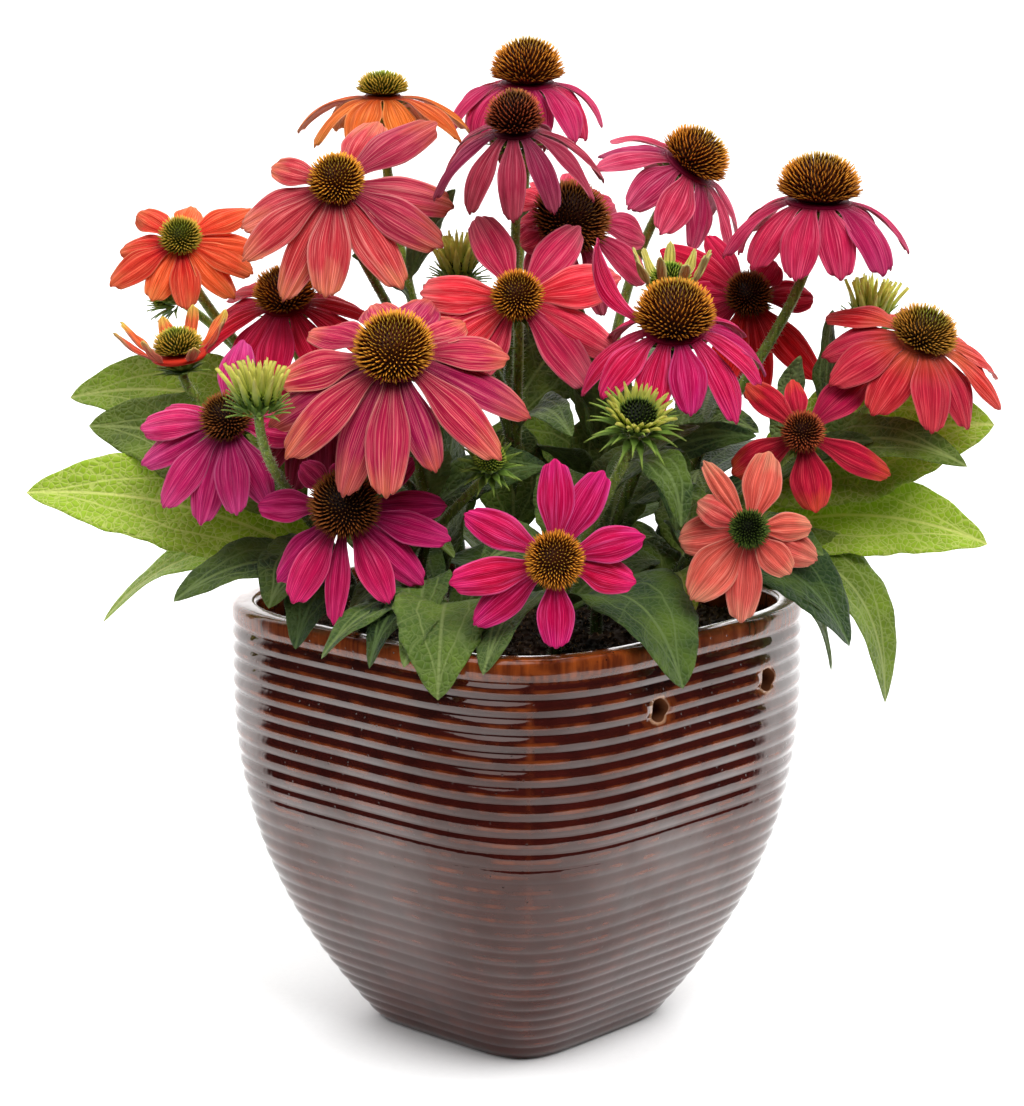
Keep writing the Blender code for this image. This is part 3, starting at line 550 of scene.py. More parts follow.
def finish_tree(n, geometry, given):
    """Ends a tree: instances made real, smooth shading and one material."""
    real = n("RealizeInstances", geometry)
    smoothed = n("SetShadeSmooth", real)
    n("GroupOutput", n("SetMaterial", smoothed, None, given["Material"]))


def grown(tree, mesh, values):
    """The plain mesh that a tree makes of a mesh, with these values for its named inputs."""
    holder = bpy.data.objects.new("holder", mesh)
    scene.collection.objects.link(holder)
    modifier = holder.modifiers.new(tree.name, "NODES")
    modifier.node_group = tree
    for item in tree.interface.items_tree:
        if item.in_out == "INPUT" and item.name in values:
            modifier[item.identifier] = values[item.name]
    return plain_mesh(holder)


# %% [markdown]
# ## Glazed stoneware
# The pot is stoneware under an iron-red glaze. Iron gives a red so deep that it reads black
# where nothing shines in it, and where the melted glaze ran thin, over the lip, the rib crests
# and the edges of the holes, it breaks to a rusty orange. The fired surface is glass, so its
# gloss is nearly that of a mirror, with a few pinholes. The glaze's metal salts make it mirror
# more than plain glass does, which a higher index of refraction gives.

# %% Pot sizes
POT_TURN = 2.3  # degrees that the front corner stands round to the right
POT_HEIGHT = 168
POT_BASE = 54.5  # corner radius at the foot
POT_SWELL = 55.5  # how much further out the wall stands from SHOULDER up
SHOULDER = 140
SWELL_POWER = 2.3
WALL = 10
FLOOR = 10
FOOT_ROUND = 1.5
RIM_ROUND = 2.5
LIP = 8.5  # the smooth band above the first groove
RIBS = 27
RIB_RELIEF = 1.3
POT_COLUMNS = 168
SQUARENESS = (5.2, 3.76)  # superellipse exponent at the foot and at the rim
HOLE_RADIUS = 4.3
HOLE_HEIGHT = 143
HOLE_OFFSETS = (-25, 39)  # along the face, from its middle

# %% Glaze
GLAZE_CLOUD = 90  # per m: patches of colour about 11 mm across
GLAZE_POOL = 26  # per m: pools of thicker, shinier glaze about 40 mm across
STREAK = (420, 420, 36)  # per m: runs of glaze 2.4 mm wide and 28 mm long
PINHOLES = 260  # per m: about one cell in 4 mm
RIPPLE = 150  # per m: soft dents about 7 mm wide

glaze, n = new_material("iron-red glaze on stoneware")
place = n("TexCoord").outputs["Object"]
own = n("VectorRotate", place, None, (0, 0, 1), math.radians(-POT_TURN))
x, y, z = n("SeparateXYZ", own).outputs
cloud = n("TexNoise", place, GLAZE_CLOUD, 3)
stretched = n("Mapping", place, named={"Scale": STREAK})
streak = n("TexNoise", stretched, 1, 3)
runs = n("MapRange", streak, 0.38, 0.62, 0.25, 1)
lip = n("MapRange", z, 0.1585, 0.1612, 0, 1)
lip_rust = n("Math MULTIPLY", lip, runs)
crest = n("Attribute", attribute_name="crest").outputs["Fac"]
sharp_crest = n("MapRange", crest, 0.86, 1, 0, 1)
high = n("MapRange", z, 0.03, 0.158, 0.2, 0.75)
patchy = n("MapRange", cloud, 0.42, 0.62, 0.1, 1)
crest_rust = n("Math MULTIPLY", sharp_crest, high)
crest_rust = n("Math MULTIPLY", crest_rust, patchy)
rust = n("Math MAXIMUM", lip_rust, crest_rust)
# A thin run of rust stands on each corner, where x or y is nought in the pot's own axes.
corner = n("Math MINIMUM", n("Math ABSOLUTE", x), n("Math ABSOLUTE", y))
corner = n("MapRange", corner, 0.0002, 0.002, 0.35, 0)
corner = n("Math MULTIPLY", corner, n("MapRange", cloud, 0.4, 0.62))
corner = n("Math MULTIPLY", corner, n("MapRange", z, 0.06, 0.15, 0.2, 1))
rust = n("Math MAXIMUM", rust, corner)
# Each hole has a ring of rust: its distance is measured in the plane of the wall.
worn = drilled = 0
across = n("Math MULTIPLY", n("Math ADD", x, y), math.sqrt(0.5))
front = n("Math SIGN", n("Math SUBTRACT", x, y))
across = n("Math MULTIPLY", across, front)
flat = n("CombineXYZ", across, z)
for offset in HOLE_OFFSETS:
    middle = (offset * MM, HOLE_HEIGHT * MM, 0)
    away = n("VectorMath DISTANCE", flat, middle).outputs["Value"]
    ring = n("MapRange", away, 0.0055, 0.01, 1, 0)
    ring = n("Math MULTIPLY", ring, runs)
    rust = n("Math MAXIMUM", rust, ring)
    ragged = n("Math", away, n("Math MULTIPLY", streak, 0.0022))
    worn = n("Math MAXIMUM", worn, n("MapRange", ragged, 0.0058, 0.0068, 1, 0))
    bore = n("MapRange", away, HOLE_RADIUS * MM, (HOLE_RADIUS + 0.3) * MM, 1, 0)
    drilled = n("Math MAXIMUM", drilled, bore)
deep = n("Mix RGBA", cloud, "#1C0606", "#46140E")
thin = n("Mix RGBA", cloud, "#5E200A", "#A4501C")
tone = n("Mix RGBA", rust, deep, thin)
# The glaze draws back from a drilled edge: a thin pale ring of clay, and a brown bare bore.
tone = n("Mix RGBA", worn, tone, "#B88A6A")
tone = n("Mix RGBA", drilled, tone, "#7A4A30")
pin = n("MapRange", n("TexVoronoi", place, PINHOLES), 0.05, 0.12, 1, 0)
tone = n("Mix RGBA", pin, tone, "#120404")
gloss = n("MapRange", rust, 0, 1, 0.07, 0.2)
gloss = n("Math", gloss, drilled)
# Low on the wall the glaze is thin and less shiny.
bare = n("Math SUBTRACT", 1, drilled)
pooled = n("MapRange", n("TexNoise", place, GLAZE_POOL, 3), 0.4, 0.6, 0.15, 1)
covered = n("Math MULTIPLY", n("MapRange", z, 0.02, 0.09, 0.15, 0.6), pooled)
covered = n("Math MULTIPLY", covered, bare)
shine = n("Math MULTIPLY", n("MapRange", z, 0.02, 0.09, 0.28, 0.45), bare)
dents = n("Math SUBTRACT", n("TexNoise", place, RIPPLE, 2), pin)
bump = n("Bump", 0.25, 0.0006, None, dents)
fired = n("BsdfPrincipled", tone, 0, gloss, 1.6, named={
    "Normal": bump, "Coat Weight": covered, "Specular IOR Level": shine,
    "Specular Tint": "#FFEEE6", "Coat Roughness": 0.04, "Coat IOR": 1.5,
})
n("OutputMaterial", fired)

# %% [markdown]
# ## The pot's body
# The pot was pressed or turned and then left ribbed: 27 level ribs run from under the lip down
# to the foot. It is a main piece whose shape follows a rule, so Geometry Nodes make it. The
# profile is a line of points, each with the way its wall faces and how far down the ribs it is.
# The tree copies the line to every column of a grid, sinks the grooves along the wall's facing,
# and pushes each ring from a circle out to a rounded square.

# %% Pot profile
RIB_ROWS = 10
ROUND_STEPS = (0, 22, 45, 68, 90)  # degrees round the rim's edge
INSIDE_LEVELS = (160, 150, 135, 110, 85, 60, 40, 26, FLOOR)


def wall_radius(height):
    """The corner radius at a height: a foot that swells to an upright wall."""
    short = np.maximum(0, 1 - np.asarray(height, float) / SHOULDER)
    return POT_BASE + POT_SWELL * (1 - short**SWELL_POWER)


fine = np.linspace(FOOT_ROUND, POT_HEIGHT - LIP, 4000)
lengths = np.concatenate([[0], np.cumsum(np.hypot(np.diff(fine), np.diff(wall_radius(fine))))])
down = lengths[-1] - lengths
RIB_PITCH = lengths[-1] / RIBS
ribbed = np.interp(np.linspace(0, lengths[-1], RIBS * RIB_ROWS + 1), lengths, fine)
rim = float(wall_radius(POT_HEIGHT))
rows = [(0.01, 0, 0), (20, 0, 0), (POT_BASE - 6, 0, 0), (POT_BASE - FOOT_ROUND, 0, 0)]
rows += [(POT_BASE - 0.45, 0.45, 0)]
rows = [(r, z, RIB_PITCH / 2) for r, z, _ in rows]
rows += [(float(wall_radius(z)), z, float(np.interp(z, fine, down))) for z in ribbed]
# The lip swells out of the first groove as the ribs do, and then stands straight.
rows += [(rim, POT_HEIGHT - LIP + s * 3.4, -s * RIB_PITCH / 2) for s in (0.15, 0.35, 0.6, 1)]
rounding = [(RIM_ROUND * math.cos(a), RIM_ROUND * math.sin(a)) for a in np.radians(ROUND_STEPS)]
outer, inner, high = rim - RIM_ROUND, rim - WALL + RIM_ROUND, POT_HEIGHT - RIM_ROUND
plain = [(rim, POT_HEIGHT - 3.6)]
plain += [(outer + c, high + s) for c, s in rounding]
plain += [(rim - WALL / 2, POT_HEIGHT)]
plain += [(inner - s, high + c) for c, s in rounding]
plain += [(float(wall_radius(z)) - WALL, z) for z in INSIDE_LEVELS]
plain += [(20, FLOOR), (0.01, FLOOR)]
rows += [(r, z, RIB_PITCH / 2) for r, z in plain]
line = bpy.data.meshes.new("pot profile")
line.from_pydata([(r * MM, 0, z * MM) for r, z, _ in rows], [], [])
slope = [float(wall_radius(z + 0.5) - wall_radius(z - 0.5)) for _, z, _ in rows]
line.attributes.new("facing", "FLOAT_VECTOR", "POINT").data.foreach_set(
    "vector", unit(np.array([(1, 0, -s) for s in slope])).ravel()
)
line.attributes.new("arc", "FLOAT", "POINT").data.foreach_set("value", [a * MM for _, _, a in rows])
print(len(rows), "rows,", round(RIB_PITCH, 2), "mm from rib to rib")

# %% Pot tree
tree, n, given = geometry_tree(
    "Ribbed rounded-square pot",
    {"Sides": int, "Rib pitch": float, "Rib relief": float, "Height": float, "Turn": float,
     "Squareness at the foot": float, "Squareness at the rim": float},
)
count = n("AttributeDomainSize", given["Geometry"]).outputs["Point Count"]
columns = n("IntegerMath", given["Sides"], 1)
grid = n("MeshGrid", 1, 1, columns, count)
index = n("InputIndex")
row = n("IntegerMath MODULO", index, count)
column = n("IntegerMath DIVIDE_FLOOR", index, count)
facing = n("InputNamedAttribute FLOAT_VECTOR", "facing")
arc = n("InputNamedAttribute FLOAT", "arc")
sources = ((n("InputPosition"), "FLOAT_VECTOR"), (facing, "FLOAT_VECTOR"), (arc, "FLOAT"))
line_point, wall_facing, rib_length = (
    n("SampleIndex", given["Geometry"], source, row, data_type=kind) for source, kind in sources
)
turns = n("Math DIVIDE", rib_length, given["Rib pitch"])
wave = n("Math SINE", n("Math MULTIPLY", turns, math.pi))
crest = n("Math ABSOLUTE", wave)
sunk = n("Math MULTIPLY", n("Math SUBTRACT", 1, crest), given["Rib relief"])
# The glaze ran down in the kiln and filled the lower grooves by about two-thirds.
level = n("SeparateXYZ", line_point).outputs["Z"]
sunk = n("Math MULTIPLY", sunk, n("MapRange", level, 0.078, 0.13, 0.35, 1))
sink = n("VectorMath SCALE", wall_facing, named={"Scale": sunk})
point = n("VectorMath SUBTRACT", line_point, sink)
radius, _, height = n("SeparateXYZ", point).outputs
low = n("MapRange", height, 0, given["Height"], 1, 0)
low = n("Math POWER", low, 2)
less = n("Math SUBTRACT", given["Squareness at the foot"], given["Squareness at the rim"])
power = n("Math MULTIPLY_ADD", low, less, given["Squareness at the rim"])
angle = n("Math DIVIDE", n("Math MULTIPLY", column, math.tau), given["Sides"])
eighth = n("Math SUBTRACT", angle, math.pi / 4)
parts = []
for part in ("COSINE", "SINE"):
    size = n("Math ABSOLUTE", n("Math", eighth, operation=part))
    parts.append(n("Math POWER", size, power))
over = n("Math DIVIDE", -1, power)
reach = n("Math POWER", n("Math", *parts), over)
corner = n("Math POWER", 2, n("Math", 0.5, over))
reach = n("Math DIVIDE", reach, corner)
reach = n("Math MULTIPLY", reach, radius)
angle = n("Math", angle, given["Turn"])
x, y = (n("Math MULTIPLY", reach, n("Math", angle, operation=part)) for part in ("COSINE", "SINE"))
stored = n("StoreNamedAttribute FLOAT", grid, None, "crest", crest)
placed = n("SetPosition", stored, None, n("CombineXYZ", x, y, height))
finish_tree(n, n("MergeByDistance", placed, None, 0.00002), given)

# %% Pot
pot_mesh = grown(tree, line, {
    "Sides": POT_COLUMNS, "Rib pitch": RIB_PITCH * MM, "Rib relief": RIB_RELIEF * MM,
    "Height": POT_HEIGHT * MM, "Turn": math.radians(POT_TURN), "Material": glaze,
    "Squareness at the foot": SQUARENESS[0], "Squareness at the rim": SQUARENESS[1],
})
shell = bmesh.new()
shell.from_mesh(pot_mesh)
bmesh.ops.recalc_face_normals(shell, faces=shell.faces)
if shell.calc_volume(signed=True) < 0:
    bmesh.ops.reverse_faces(shell, faces=shell.faces)
shell.to_mesh(pot_mesh)
shell.free()

# %% [markdown]
# ## Holes through the wall
# Two pencil-wide holes go through the front right wall near the lip, for a hanging cord or for
# air. A drill is a plain round cutter that stands across the wall, and one Boolean takes all of
# the drills away at once. The wall behind has the same two, since such holes come in pairs.

# %% Drilled pot
DRILLED_WALLS = (-45, 135)  # degrees: the wall at the front right, and the one behind it
DRILL_LENGTH = 60
DRILL_SIDES = 40

drills = bpy.data.collections.new("drills")
scene.collection.children.link(drills)
flat = float(wall_radius(HOLE_HEIGHT)) / 2 ** (0.5 - 1 / SQUARENESS[1])
size = HOLE_RADIUS * MM
lying = Matrix.Rotation(math.pi / 2, 4, "Y")
for side in DRILLED_WALLS:
    face = Matrix.Rotation(math.radians(side + POT_TURN), 4, "Z")
    for offset in HOLE_OFFSETS:
        drill = bmesh.new()
        bmesh.ops.create_cone(
            drill, cap_ends=True, segments=DRILL_SIDES, radius1=size, radius2=size,
            depth=DRILL_LENGTH * MM,
        )
        spot = Matrix.Translation(Vector((flat, offset, HOLE_HEIGHT)) * MM)
        bmesh.ops.transform(drill, matrix=face @ spot @ lying, verts=drill.verts)
        cutter = bpy.data.objects.new("drill", bpy.data.meshes.new("drill"))
        drill.to_mesh(cutter.data)
        drills.objects.link(cutter)
whole = bpy.data.objects.new("undrilled pot", pot_mesh)
scene.collection.objects.link(whole)
cut = whole.modifiers.new("Holes", "BOOLEAN")
cut.operand_type = "COLLECTION"
cut.collection = drills
drilled = plain_mesh(whole)
for spare in list(drills.objects):
    bpy.data.objects.remove(spare)
bpy.data.collections.remove(drills)
show("glazed_pot", drilled, glaze, "glaze", "pot")
print("pot", triangles(drilled), "triangles")

# %% [markdown]
# ## Compost
# The pot is filled to below its lip with peat-free compost: dark, crumbly, with flecks of bark.
# Its body is a low crowned dome to the pot's own plan. The crumbs are one small stone-like
# shape, scattered over the dome by Geometry Nodes, because hundreds of them differ only in
# size, stretch and turn.

# %% Compost body
COMPOST_TOP = 155
COMPOST_CROWN = 2
CRUMB = 1.4
GAP = 0.3  # clear space between pieces that rest on each other
COMPOST_SIDES = 96
BED_RINGS = 26  # rings over the top of the bed

compost, n = new_material("damp potting compost")
place = n("TexCoord").outputs["Object"]
grains = n("TexVoronoi", place, 420)  # grains about 2.4 mm across
damp = n("TexNoise", place, 60, 4)
soil = n("Mix RGBA", n("MapRange", damp, 0.35, 0.65), "#1C130D", "#4A3424")
flecks = n("TexNoise", n("Mapping", place, named={"Scale": (900, 300, 600)}), 1, 2)
bark = n("MapRange", flecks, 0.62, 0.68, 0, 0.8)
soil = n("Mix RGBA", bark, soil, "#8A6844")
bump = n("Bump", 0.8, 0.0012, None, grains)
earth = n("BsdfPrincipled", soil, 0, 0.92, named={"Normal": bump, "Specular IOR Level": 0.25})
n("OutputMaterial", earth)


def squared(points):
    """Pushes round points out to the pot's rounded-square plan, and turns them with the pot."""
    foot, at_rim = SQUARENESS
    x, y, z = np.moveaxis(np.asarray(points, float), -1, 0)
    power = at_rim + (foot - at_rim) * (1 - np.minimum(1, z / POT_HEIGHT)) ** 2
    angle = np.arctan2(y, x)
    eighth = angle - math.pi / 4
    reach = np.abs(np.cos(eighth)) ** power + np.abs(np.sin(eighth)) ** power
    reach = np.hypot(x, y) * reach ** (-1 / power) / 2 ** (0.5 - 1 / power)
    angle = angle + math.radians(POT_TURN)
    return np.stack([reach * np.cos(angle), reach * np.sin(angle), z], -1)


edge = rim - WALL - 2 * GAP
levels = (FLOOR, 26, 45, 70, 100, 130, 148)
profile = [(0.2, FLOOR + GAP)]
profile += [(float(wall_radius(z)) - WALL - 2 * GAP, z + GAP) for z in levels]
profile += [(edge - 0.4, COMPOST_TOP - 3)]
for r in np.linspace(edge - 0.6, 0.2, BED_RINGS):
    profile.append((r, COMPOST_TOP + COMPOST_CROWN * (1 - (r / edge) ** 2)))
body = squared(turned(profile, COMPOST_SIDES))
for point in body[-BED_RINGS:].reshape(-1, 3):
    x, y, _ = point
    point[2] += CRUMB * math.sin(0.31 * x + 0.11 * y) * math.cos(0.27 * y)
    point[2] += 1.6 * noise.noise(Vector(point) * 0.12) + 0.7 * noise.noise(Vector(point) * 0.45)
fill = Patches()
fill.add(body, closed_faces(len(profile), COMPOST_SIDES))
fill_mesh = fill.mesh("compost body")
show("compost_bed", fill_mesh, compost, "compost", "compost")

# %% Crumbs
tree, n, given = geometry_tree("Scattered crumbs", {
    "Crumbs per square metre": float, "Smallest": float, "Largest": float, "Seed": int,
})
z = n("SeparateXYZ", n("InputPosition")).outputs["Z"]
on_top = n("Compare GREATER_THAN", z, (COMPOST_TOP - 2.6) * MM)
density = given["Crumbs per square metre"]
spots = n("DistributePointsOnFaces", given["Geometry"], on_top, density, given["Seed"])
stone = n("MeshIcoSphere", 1, 1)
turn = n("RandomValue FLOAT_VECTOR", (0, 0, 0), (math.tau,) * 3, None, 3)
size = n("RandomValue FLOAT", given["Smallest"], given["Largest"], None, 5)
stretch = n("RandomValue FLOAT_VECTOR", (0.6, 0.5, 0.4), (1.5, 1.1, 0.9), None, 7)
size = n("VectorMath SCALE", stretch, named={"Scale": size})
crumbs = n("InstanceOnPoints", spots, None, stone, None, None, turn, size)
finish_tree(n, crumbs, given)
crumb_mesh = grown(tree, fill_mesh.copy(), {
    "Crumbs per square metre": 1.5e5, "Smallest": 0.5 * MM, "Largest": 1.6 * MM, "Seed": 11,
    "Material": compost,
})
show("compost_crumbs", crumb_mesh, compost, "compost")
print("crumbs", triangles(crumb_mesh), "triangles")

# %% [markdown]
# ## Thin blades
# A petal or a leaf is a sheet bent in space. It is worked out as a grid of points on its middle.
# Each row becomes one closed loop, along the upper face and back along the lower one, so the
# blade has no seam, and light can pass through it as through a real one.

# %% Closed blades
def closed_blade(patches, grid, thickness, across, along, extra, look):
    """Adds a blade. Its values are across, along and extra, and then whether a point is under."""
    rows, columns = grid.shape[:2]
    up = unit(np.cross(np.gradient(grid, axis=1), np.gradient(grid, axis=0))) * thickness / 2
    # The two faces come together at the edges, so that the blade has no square rim.
    thin = (1 - 0.7 * np.abs(across) ** 8)[None, :, None]
    loop = np.concatenate([grid - up * thin, (grid + up * thin)[:, ::-1]], axis=1)
    side, share = np.meshgrid(across, along)
    blade = np.stack([side, share, np.broadcast_to(extra, side.shape)], -1)
    blade = np.concatenate([blade, blade[:, ::-1]], axis=1)
    under = np.repeat([0.0, 1.0], columns)[None, :] * np.ones((rows, 1))
    looks = np.stack([under, np.full(under.shape, look[0]), np.full(under.shape, look[1])], -1)
    width = 2 * columns
    ring = np.arange(width)
    back = ring[: columns - 1 : -1]
    start = np.stack([ring[: columns - 1], ring[1:columns], back[1:], back[:-1]], -1)
    end = start[:, ::-1] + (rows - 1) * width
    patches.add(loop, [grid_faces(rows, width)[:, ::-1], start, end],
                blade=blade.reshape(-1, 3), look=looks.reshape(-1, 3))


# %% [markdown]
# ## How a head stands
# Each head has an axis that it faces along, and a clock whose right hand is 0 degrees as the
# viewer sees it. Petals leave the rim of a small disc on that axis and droop along an arc.

# %% Heads in space
DISC_HEIGHT = 2
DISC_SIDES = 24
CUP_HEIGHT = 5.5


def head_axes(head):
    """The way a head faces, and the ways its clock's 0 and 90 degrees point."""
    lean, toward = math.radians(head.lean), math.radians(head.toward)
    out = math.sin(lean)
    axis = Vector((out * math.cos(toward), out * math.sin(toward), math.cos(lean)))
    right = (Vector((1, 0, 0)) - axis * axis.x).normalized()
    return axis, right, axis.cross(right)


def head_matrix(head, height):
    """Places a shape in metres drawn about Z on the head's axis, at a height in mm."""
    axis, right, back = head_axes(head)
    turn = Matrix((right, back, axis)).transposed().to_4x4()
    return Matrix.Translation((Vector(head.at) + axis * height) * MM) @ turn


def disc_radius(head):
    """Drooping petals leave from under the cone, and upright rays from outside it."""
    radius = head.cone[0]
    return 0.8 * radius if head.droop[0] > -20 else 1.05 * radius + 1.5


# %% [markdown]
# ## Petals
# A coneflower's ray petal is narrow where it leaves the head, widest past its middle, and blunt
# at the tip, with two or three small teeth. Two shallow folds run along it, which catch the
# light as long stripes, and its edges curl under a little. Every petal bends its own way, so
# each draws its sway from a seed made of its head's name and its number.

# %% Petal shape
PETAL_THICKNESS = 0.5
PETAL_ROWS = 24
PETAL_COLUMNS = 13
LAYER = 4.5  # degrees that every second petal droops more, and the others less
CAMBER = 0.16  # how far the edges curl under, as a share of the half width
FOLD_DEPTH = 0.55  # mm
TOOTH = 0.035  # depth of the notches at the tip, as a share of the length
FULL = 1.03  # a real petal is fuller than its solid, which has straight edges


def petal_grid(name, head, index, entry):
    """One petal's points, with its values across and along, and a number of its own."""
    clock, length, wide, lift = entry + (1, 0)[len(entry) - 2 :]
    draw = random.Random(f"petal {name} {index}")
    layer = (-LAYER, LAYER)[index % 2] + draw.uniform(-3, 3)
    start = math.radians(head.droop[0] + layer - lift / 5)
    end = math.radians(head.droop[1] + layer - lift)
    sway = draw.uniform(-0.05, 0.05)
    ripple = draw.uniform(0, math.tau)
    twist = draw.uniform(-0.3, 0.3)
    teeth = draw.choice((1, 1.5))
    blunt = draw.uniform(0.5, 0.72)
    curl = draw.uniform(-0.3, 1)
    root = disc_radius(head) - 1.2
    length -= root
    axis, right, back = (np.array(way) for way in head_axes(head))
    out = right * math.cos(math.radians(clock)) + back * math.sin(math.radians(clock))
    along = np.linspace(0, 1, PETAL_ROWS)
    across = np.linspace(-1, 1, PETAL_COLUMNS)
    u, v = np.meshgrid(across, along)
    near_tip = smooth((v - 0.66) / 0.34)
    notch = TOOTH * np.sin(math.pi * teeth * (u + 1 / teeth)) ** 4 * (np.abs(u) < 0.99)
    v = v - near_tip * (0.1 * np.abs(u) ** 2 + notch)
    bend = end - start if abs(end - start) > 0.01 else 0.01
    slope = start + bend * v
    reach = root + length * (np.sin(slope) - math.sin(start)) / bend
    drop = DISC_HEIGHT / 2 + length * (math.cos(start) - np.cos(slope)) / bend
    normal = axis * np.cos(slope)[..., None] + out * np.sin(slope)[..., None]
    side = np.cross(normal, out * np.cos(slope)[..., None] - axis * np.sin(slope)[..., None])
    taper = 1 - blunt * np.maximum(0, (v - 0.52) / 0.48) ** 1.9
    half = FULL * head.width * wide / 2 * (0.36 + 0.64 * smooth(v / 0.5)) * taper
    grown_up = smooth(v * 3)
    height = -CAMBER * half * u**2 - FOLD_DEPTH * np.cos(3 * math.pi * u) * (1 - 0.5 * near_tip)
    height = height + 0.6 * u**2 * np.sin(ripple + 8 * v + 2 * u) + twist * half * u * v
    height = height - curl * 0.22 * half * np.abs(u) ** 3 * smooth((v - 0.3) / 0.5)
    place = np.array(head.at) + out * reach[..., None] - axis * drop[..., None]
    shift = sway * length * v**2 + half * u
    place = place + side * shift[..., None] + normal * (height * grown_up)[..., None]
    return place, across, along, draw.random()


def petal_ring(name, head):
    """A head's petals and the small disc that they leave from, as one mesh."""
    patches = Patches()
    for index, entry in enumerate(head.petals):
        grid, across, along, own = petal_grid(name, head, index, entry)
        closed_blade(patches, grid, PETAL_THICKNESS, across, along, own, (0, 0))
    radius = disc_radius(head)
    low = -DISC_HEIGHT
    profile = [(0.1, low), (radius * 0.9, low), (radius, -0.9), (radius * 0.92, 0), (0.1, 0)]
    disc = turned(profile, DISC_SIDES)
    axis, right, back = (np.array(way) for way in head_axes(head))
    disc = np.array(head.at) + disc[..., :1] * right + disc[..., 1:2] * back + disc[..., 2:] * axis
    patches.add(disc, closed_faces(len(profile), DISC_SIDES), blade=(0, 0, 0.5), look=(0, 0, 0))
    return patches.mesh("petals")


# %% [markdown]
# ## Petal tissue
# A petal is a thin, soft tissue: part of the light goes through it and colours what lies
# behind. Veins run along it, a little darker and a little raised. Colour is strongest near the
# cone and fades towards the tip, with a painted highlight along the edges and painted shade in
# the grooves between the folds, and no two petals of a head are quite alike.

# %% Petal material
VEINS_ACROSS = 20  # veins over a petal's width, about 0.75 mm apart


def petal_material(name, root, body, tip, edge):
    made, n = new_material(name + " petal tissue")
    u, v, own = point_values(n, "blade")
    under = point_values(n, "look")["X"]
    shift = n("Math MULTIPLY", own, 60)
    wide = n("Math MULTIPLY", u, VEINS_ACROSS / 2)
    strip = n("CombineXYZ", wide, n("Math MULTIPLY", v, 0.7), shift)
    veins = n("TexNoise", strip, 2.2, 3, 0.7)
    cloud = n("TexNoise", n("CombineXYZ", u, v, shift), 2.2, 2)
    inner = n("MapRange", v, 0.02, 0.5)
    tone = n("Mix RGBA", inner, root, body)
    wander = n("Math", n("Math MULTIPLY", cloud, 0.7), v)
    outer = n("MapRange", wander, 1.0, 1.4)
    tone = n("Mix RGBA", outer, tone, tip)
    pale_lines = n("MapRange", veins, 0.5, 0.68, 0, 0.5)
    tone = n("Mix RGBA", pale_lines, tone, edge)
    # A painted highlight: a thin pale line along each petal's edge.
    painted_edge_highlight = n("MapRange", n("Math ABSOLUTE", u), 0.88, 1, 0, 0.5)
    tone = n("Mix RGBA", painted_edge_highlight, tone, edge)
    # Painted shade in the grooves between the folds, and a painted highlight on the ridges between
    # them.
    fold = n("Math COSINE", n("Math MULTIPLY", u, 3 * math.pi))
    painted_fold_shade = n("MapRange", fold, -1, 1, 1.06, 0.86)
    light = n("MapRange", veins, 0.32, 0.58, 0.6, 1.12)
    light = n("Math MULTIPLY", light, painted_fold_shade)
    light = n("Math MULTIPLY", light, n("MapRange", own, 0, 1, 0.84, 1.12))
    hue = n("MapRange", own, 0, 1, 0.492, 0.508)
    tone = n("HueSaturation", hue, n("MapRange", under, 0, 1, 1, 0.85), light, 1, tone)
    bump = n("Bump", 0.7, 0.0005, None, veins)
    soft = n("BsdfPrincipled", tone, 0, 0.55, named={
        "Normal": bump, "Sheen Weight": 0.04, "Sheen Roughness": 0.4, "Specular IOR Level": 0.12,
    })
    through = n("BsdfTranslucent", tone)
    n("OutputMaterial", n("MixShader", 0.2, soft, through))
    return made


# Each head's colours: at the root, in the body, at the tip, and a pale one for the veins and the
# painted highlight along the edges.
PETAL_COLOURS = {
    "01": ("#AB1544", "#DC215C", "#F6447F", "#F67FA6"),
    "02": ("#7E1935", "#AF2A4D", "#CB5167", "#DE8295"),
    "03": ("#C33F12", "#E5631F", "#EF8A3C", "#F3B06C"),
    "04": ("#AC1A3A", "#D63A4E", "#F0805E", "#F6B1A6"),
    "05": ("#EE211E", "#F65131", "#F67D49", "#F6AC7B"),
    "06": ("#E33924", "#F66B3E", "#F6DB63", "#F6A87A"),
    "07": ("#9E0A25", "#CF0A37", "#E7144C", "#F04D7C"),
    "08": ("#9A1040", "#CC2156", "#F07258", "#F6AC9E"),
    "09": ("#D2203D", "#F63357", "#F66E79", "#F6A6AA"),
    "10": ("#AF2444", "#DE3459", "#F66176", "#F695A7"),
    "11": ("#9B1942", "#CB2D5C", "#E95C83", "#F696B1"),
    "12": ("#A1103F", "#D01D55", "#E53E72", "#F680A1"),
    "13": ("#B00A41", "#DA0B55", "#EE2478", "#F675B4"),
    "14": ("#C0A83C", "#E4D468", "#ECE084", "#F4F0AC"),
    "15": ("#A30A24", "#D81033", "#F6294B", "#F6677A"),
    "16": ("#CC5A34", "#D62636", "#EE4345", "#F6817E"),
    "18": ("#9C0E2E", "#CC1840", "#F15234", "#F0656D"),
    "19": ("#D53335", "#F66458", "#F6987A", "#F6B5A0"),
    "20": ("#B20A3F", "#DD0A51", "#EF1D79", "#F672BE"),
    "21": ("#950C45", "#CB115C", "#E6297B", "#F36FA5"),
    "22": ("#B31459", "#E31F6F", "#F64996", "#F68FBE"),
    "24": ("#710D27", "#96132D", "#AE2D4A", "#C95871"),
}
for name, head in ALL_HEADS.items():
    tissue = petal_material("bloom " + name, *PETAL_COLOURS[name])
    made = show("petals_" + name, petal_ring(name, head), tissue, "petal_" + head.colour,
                solid_of(name, "petals"))
    if name in ("01", "14"):
        print("petals", name, triangles(made.data), "triangles")

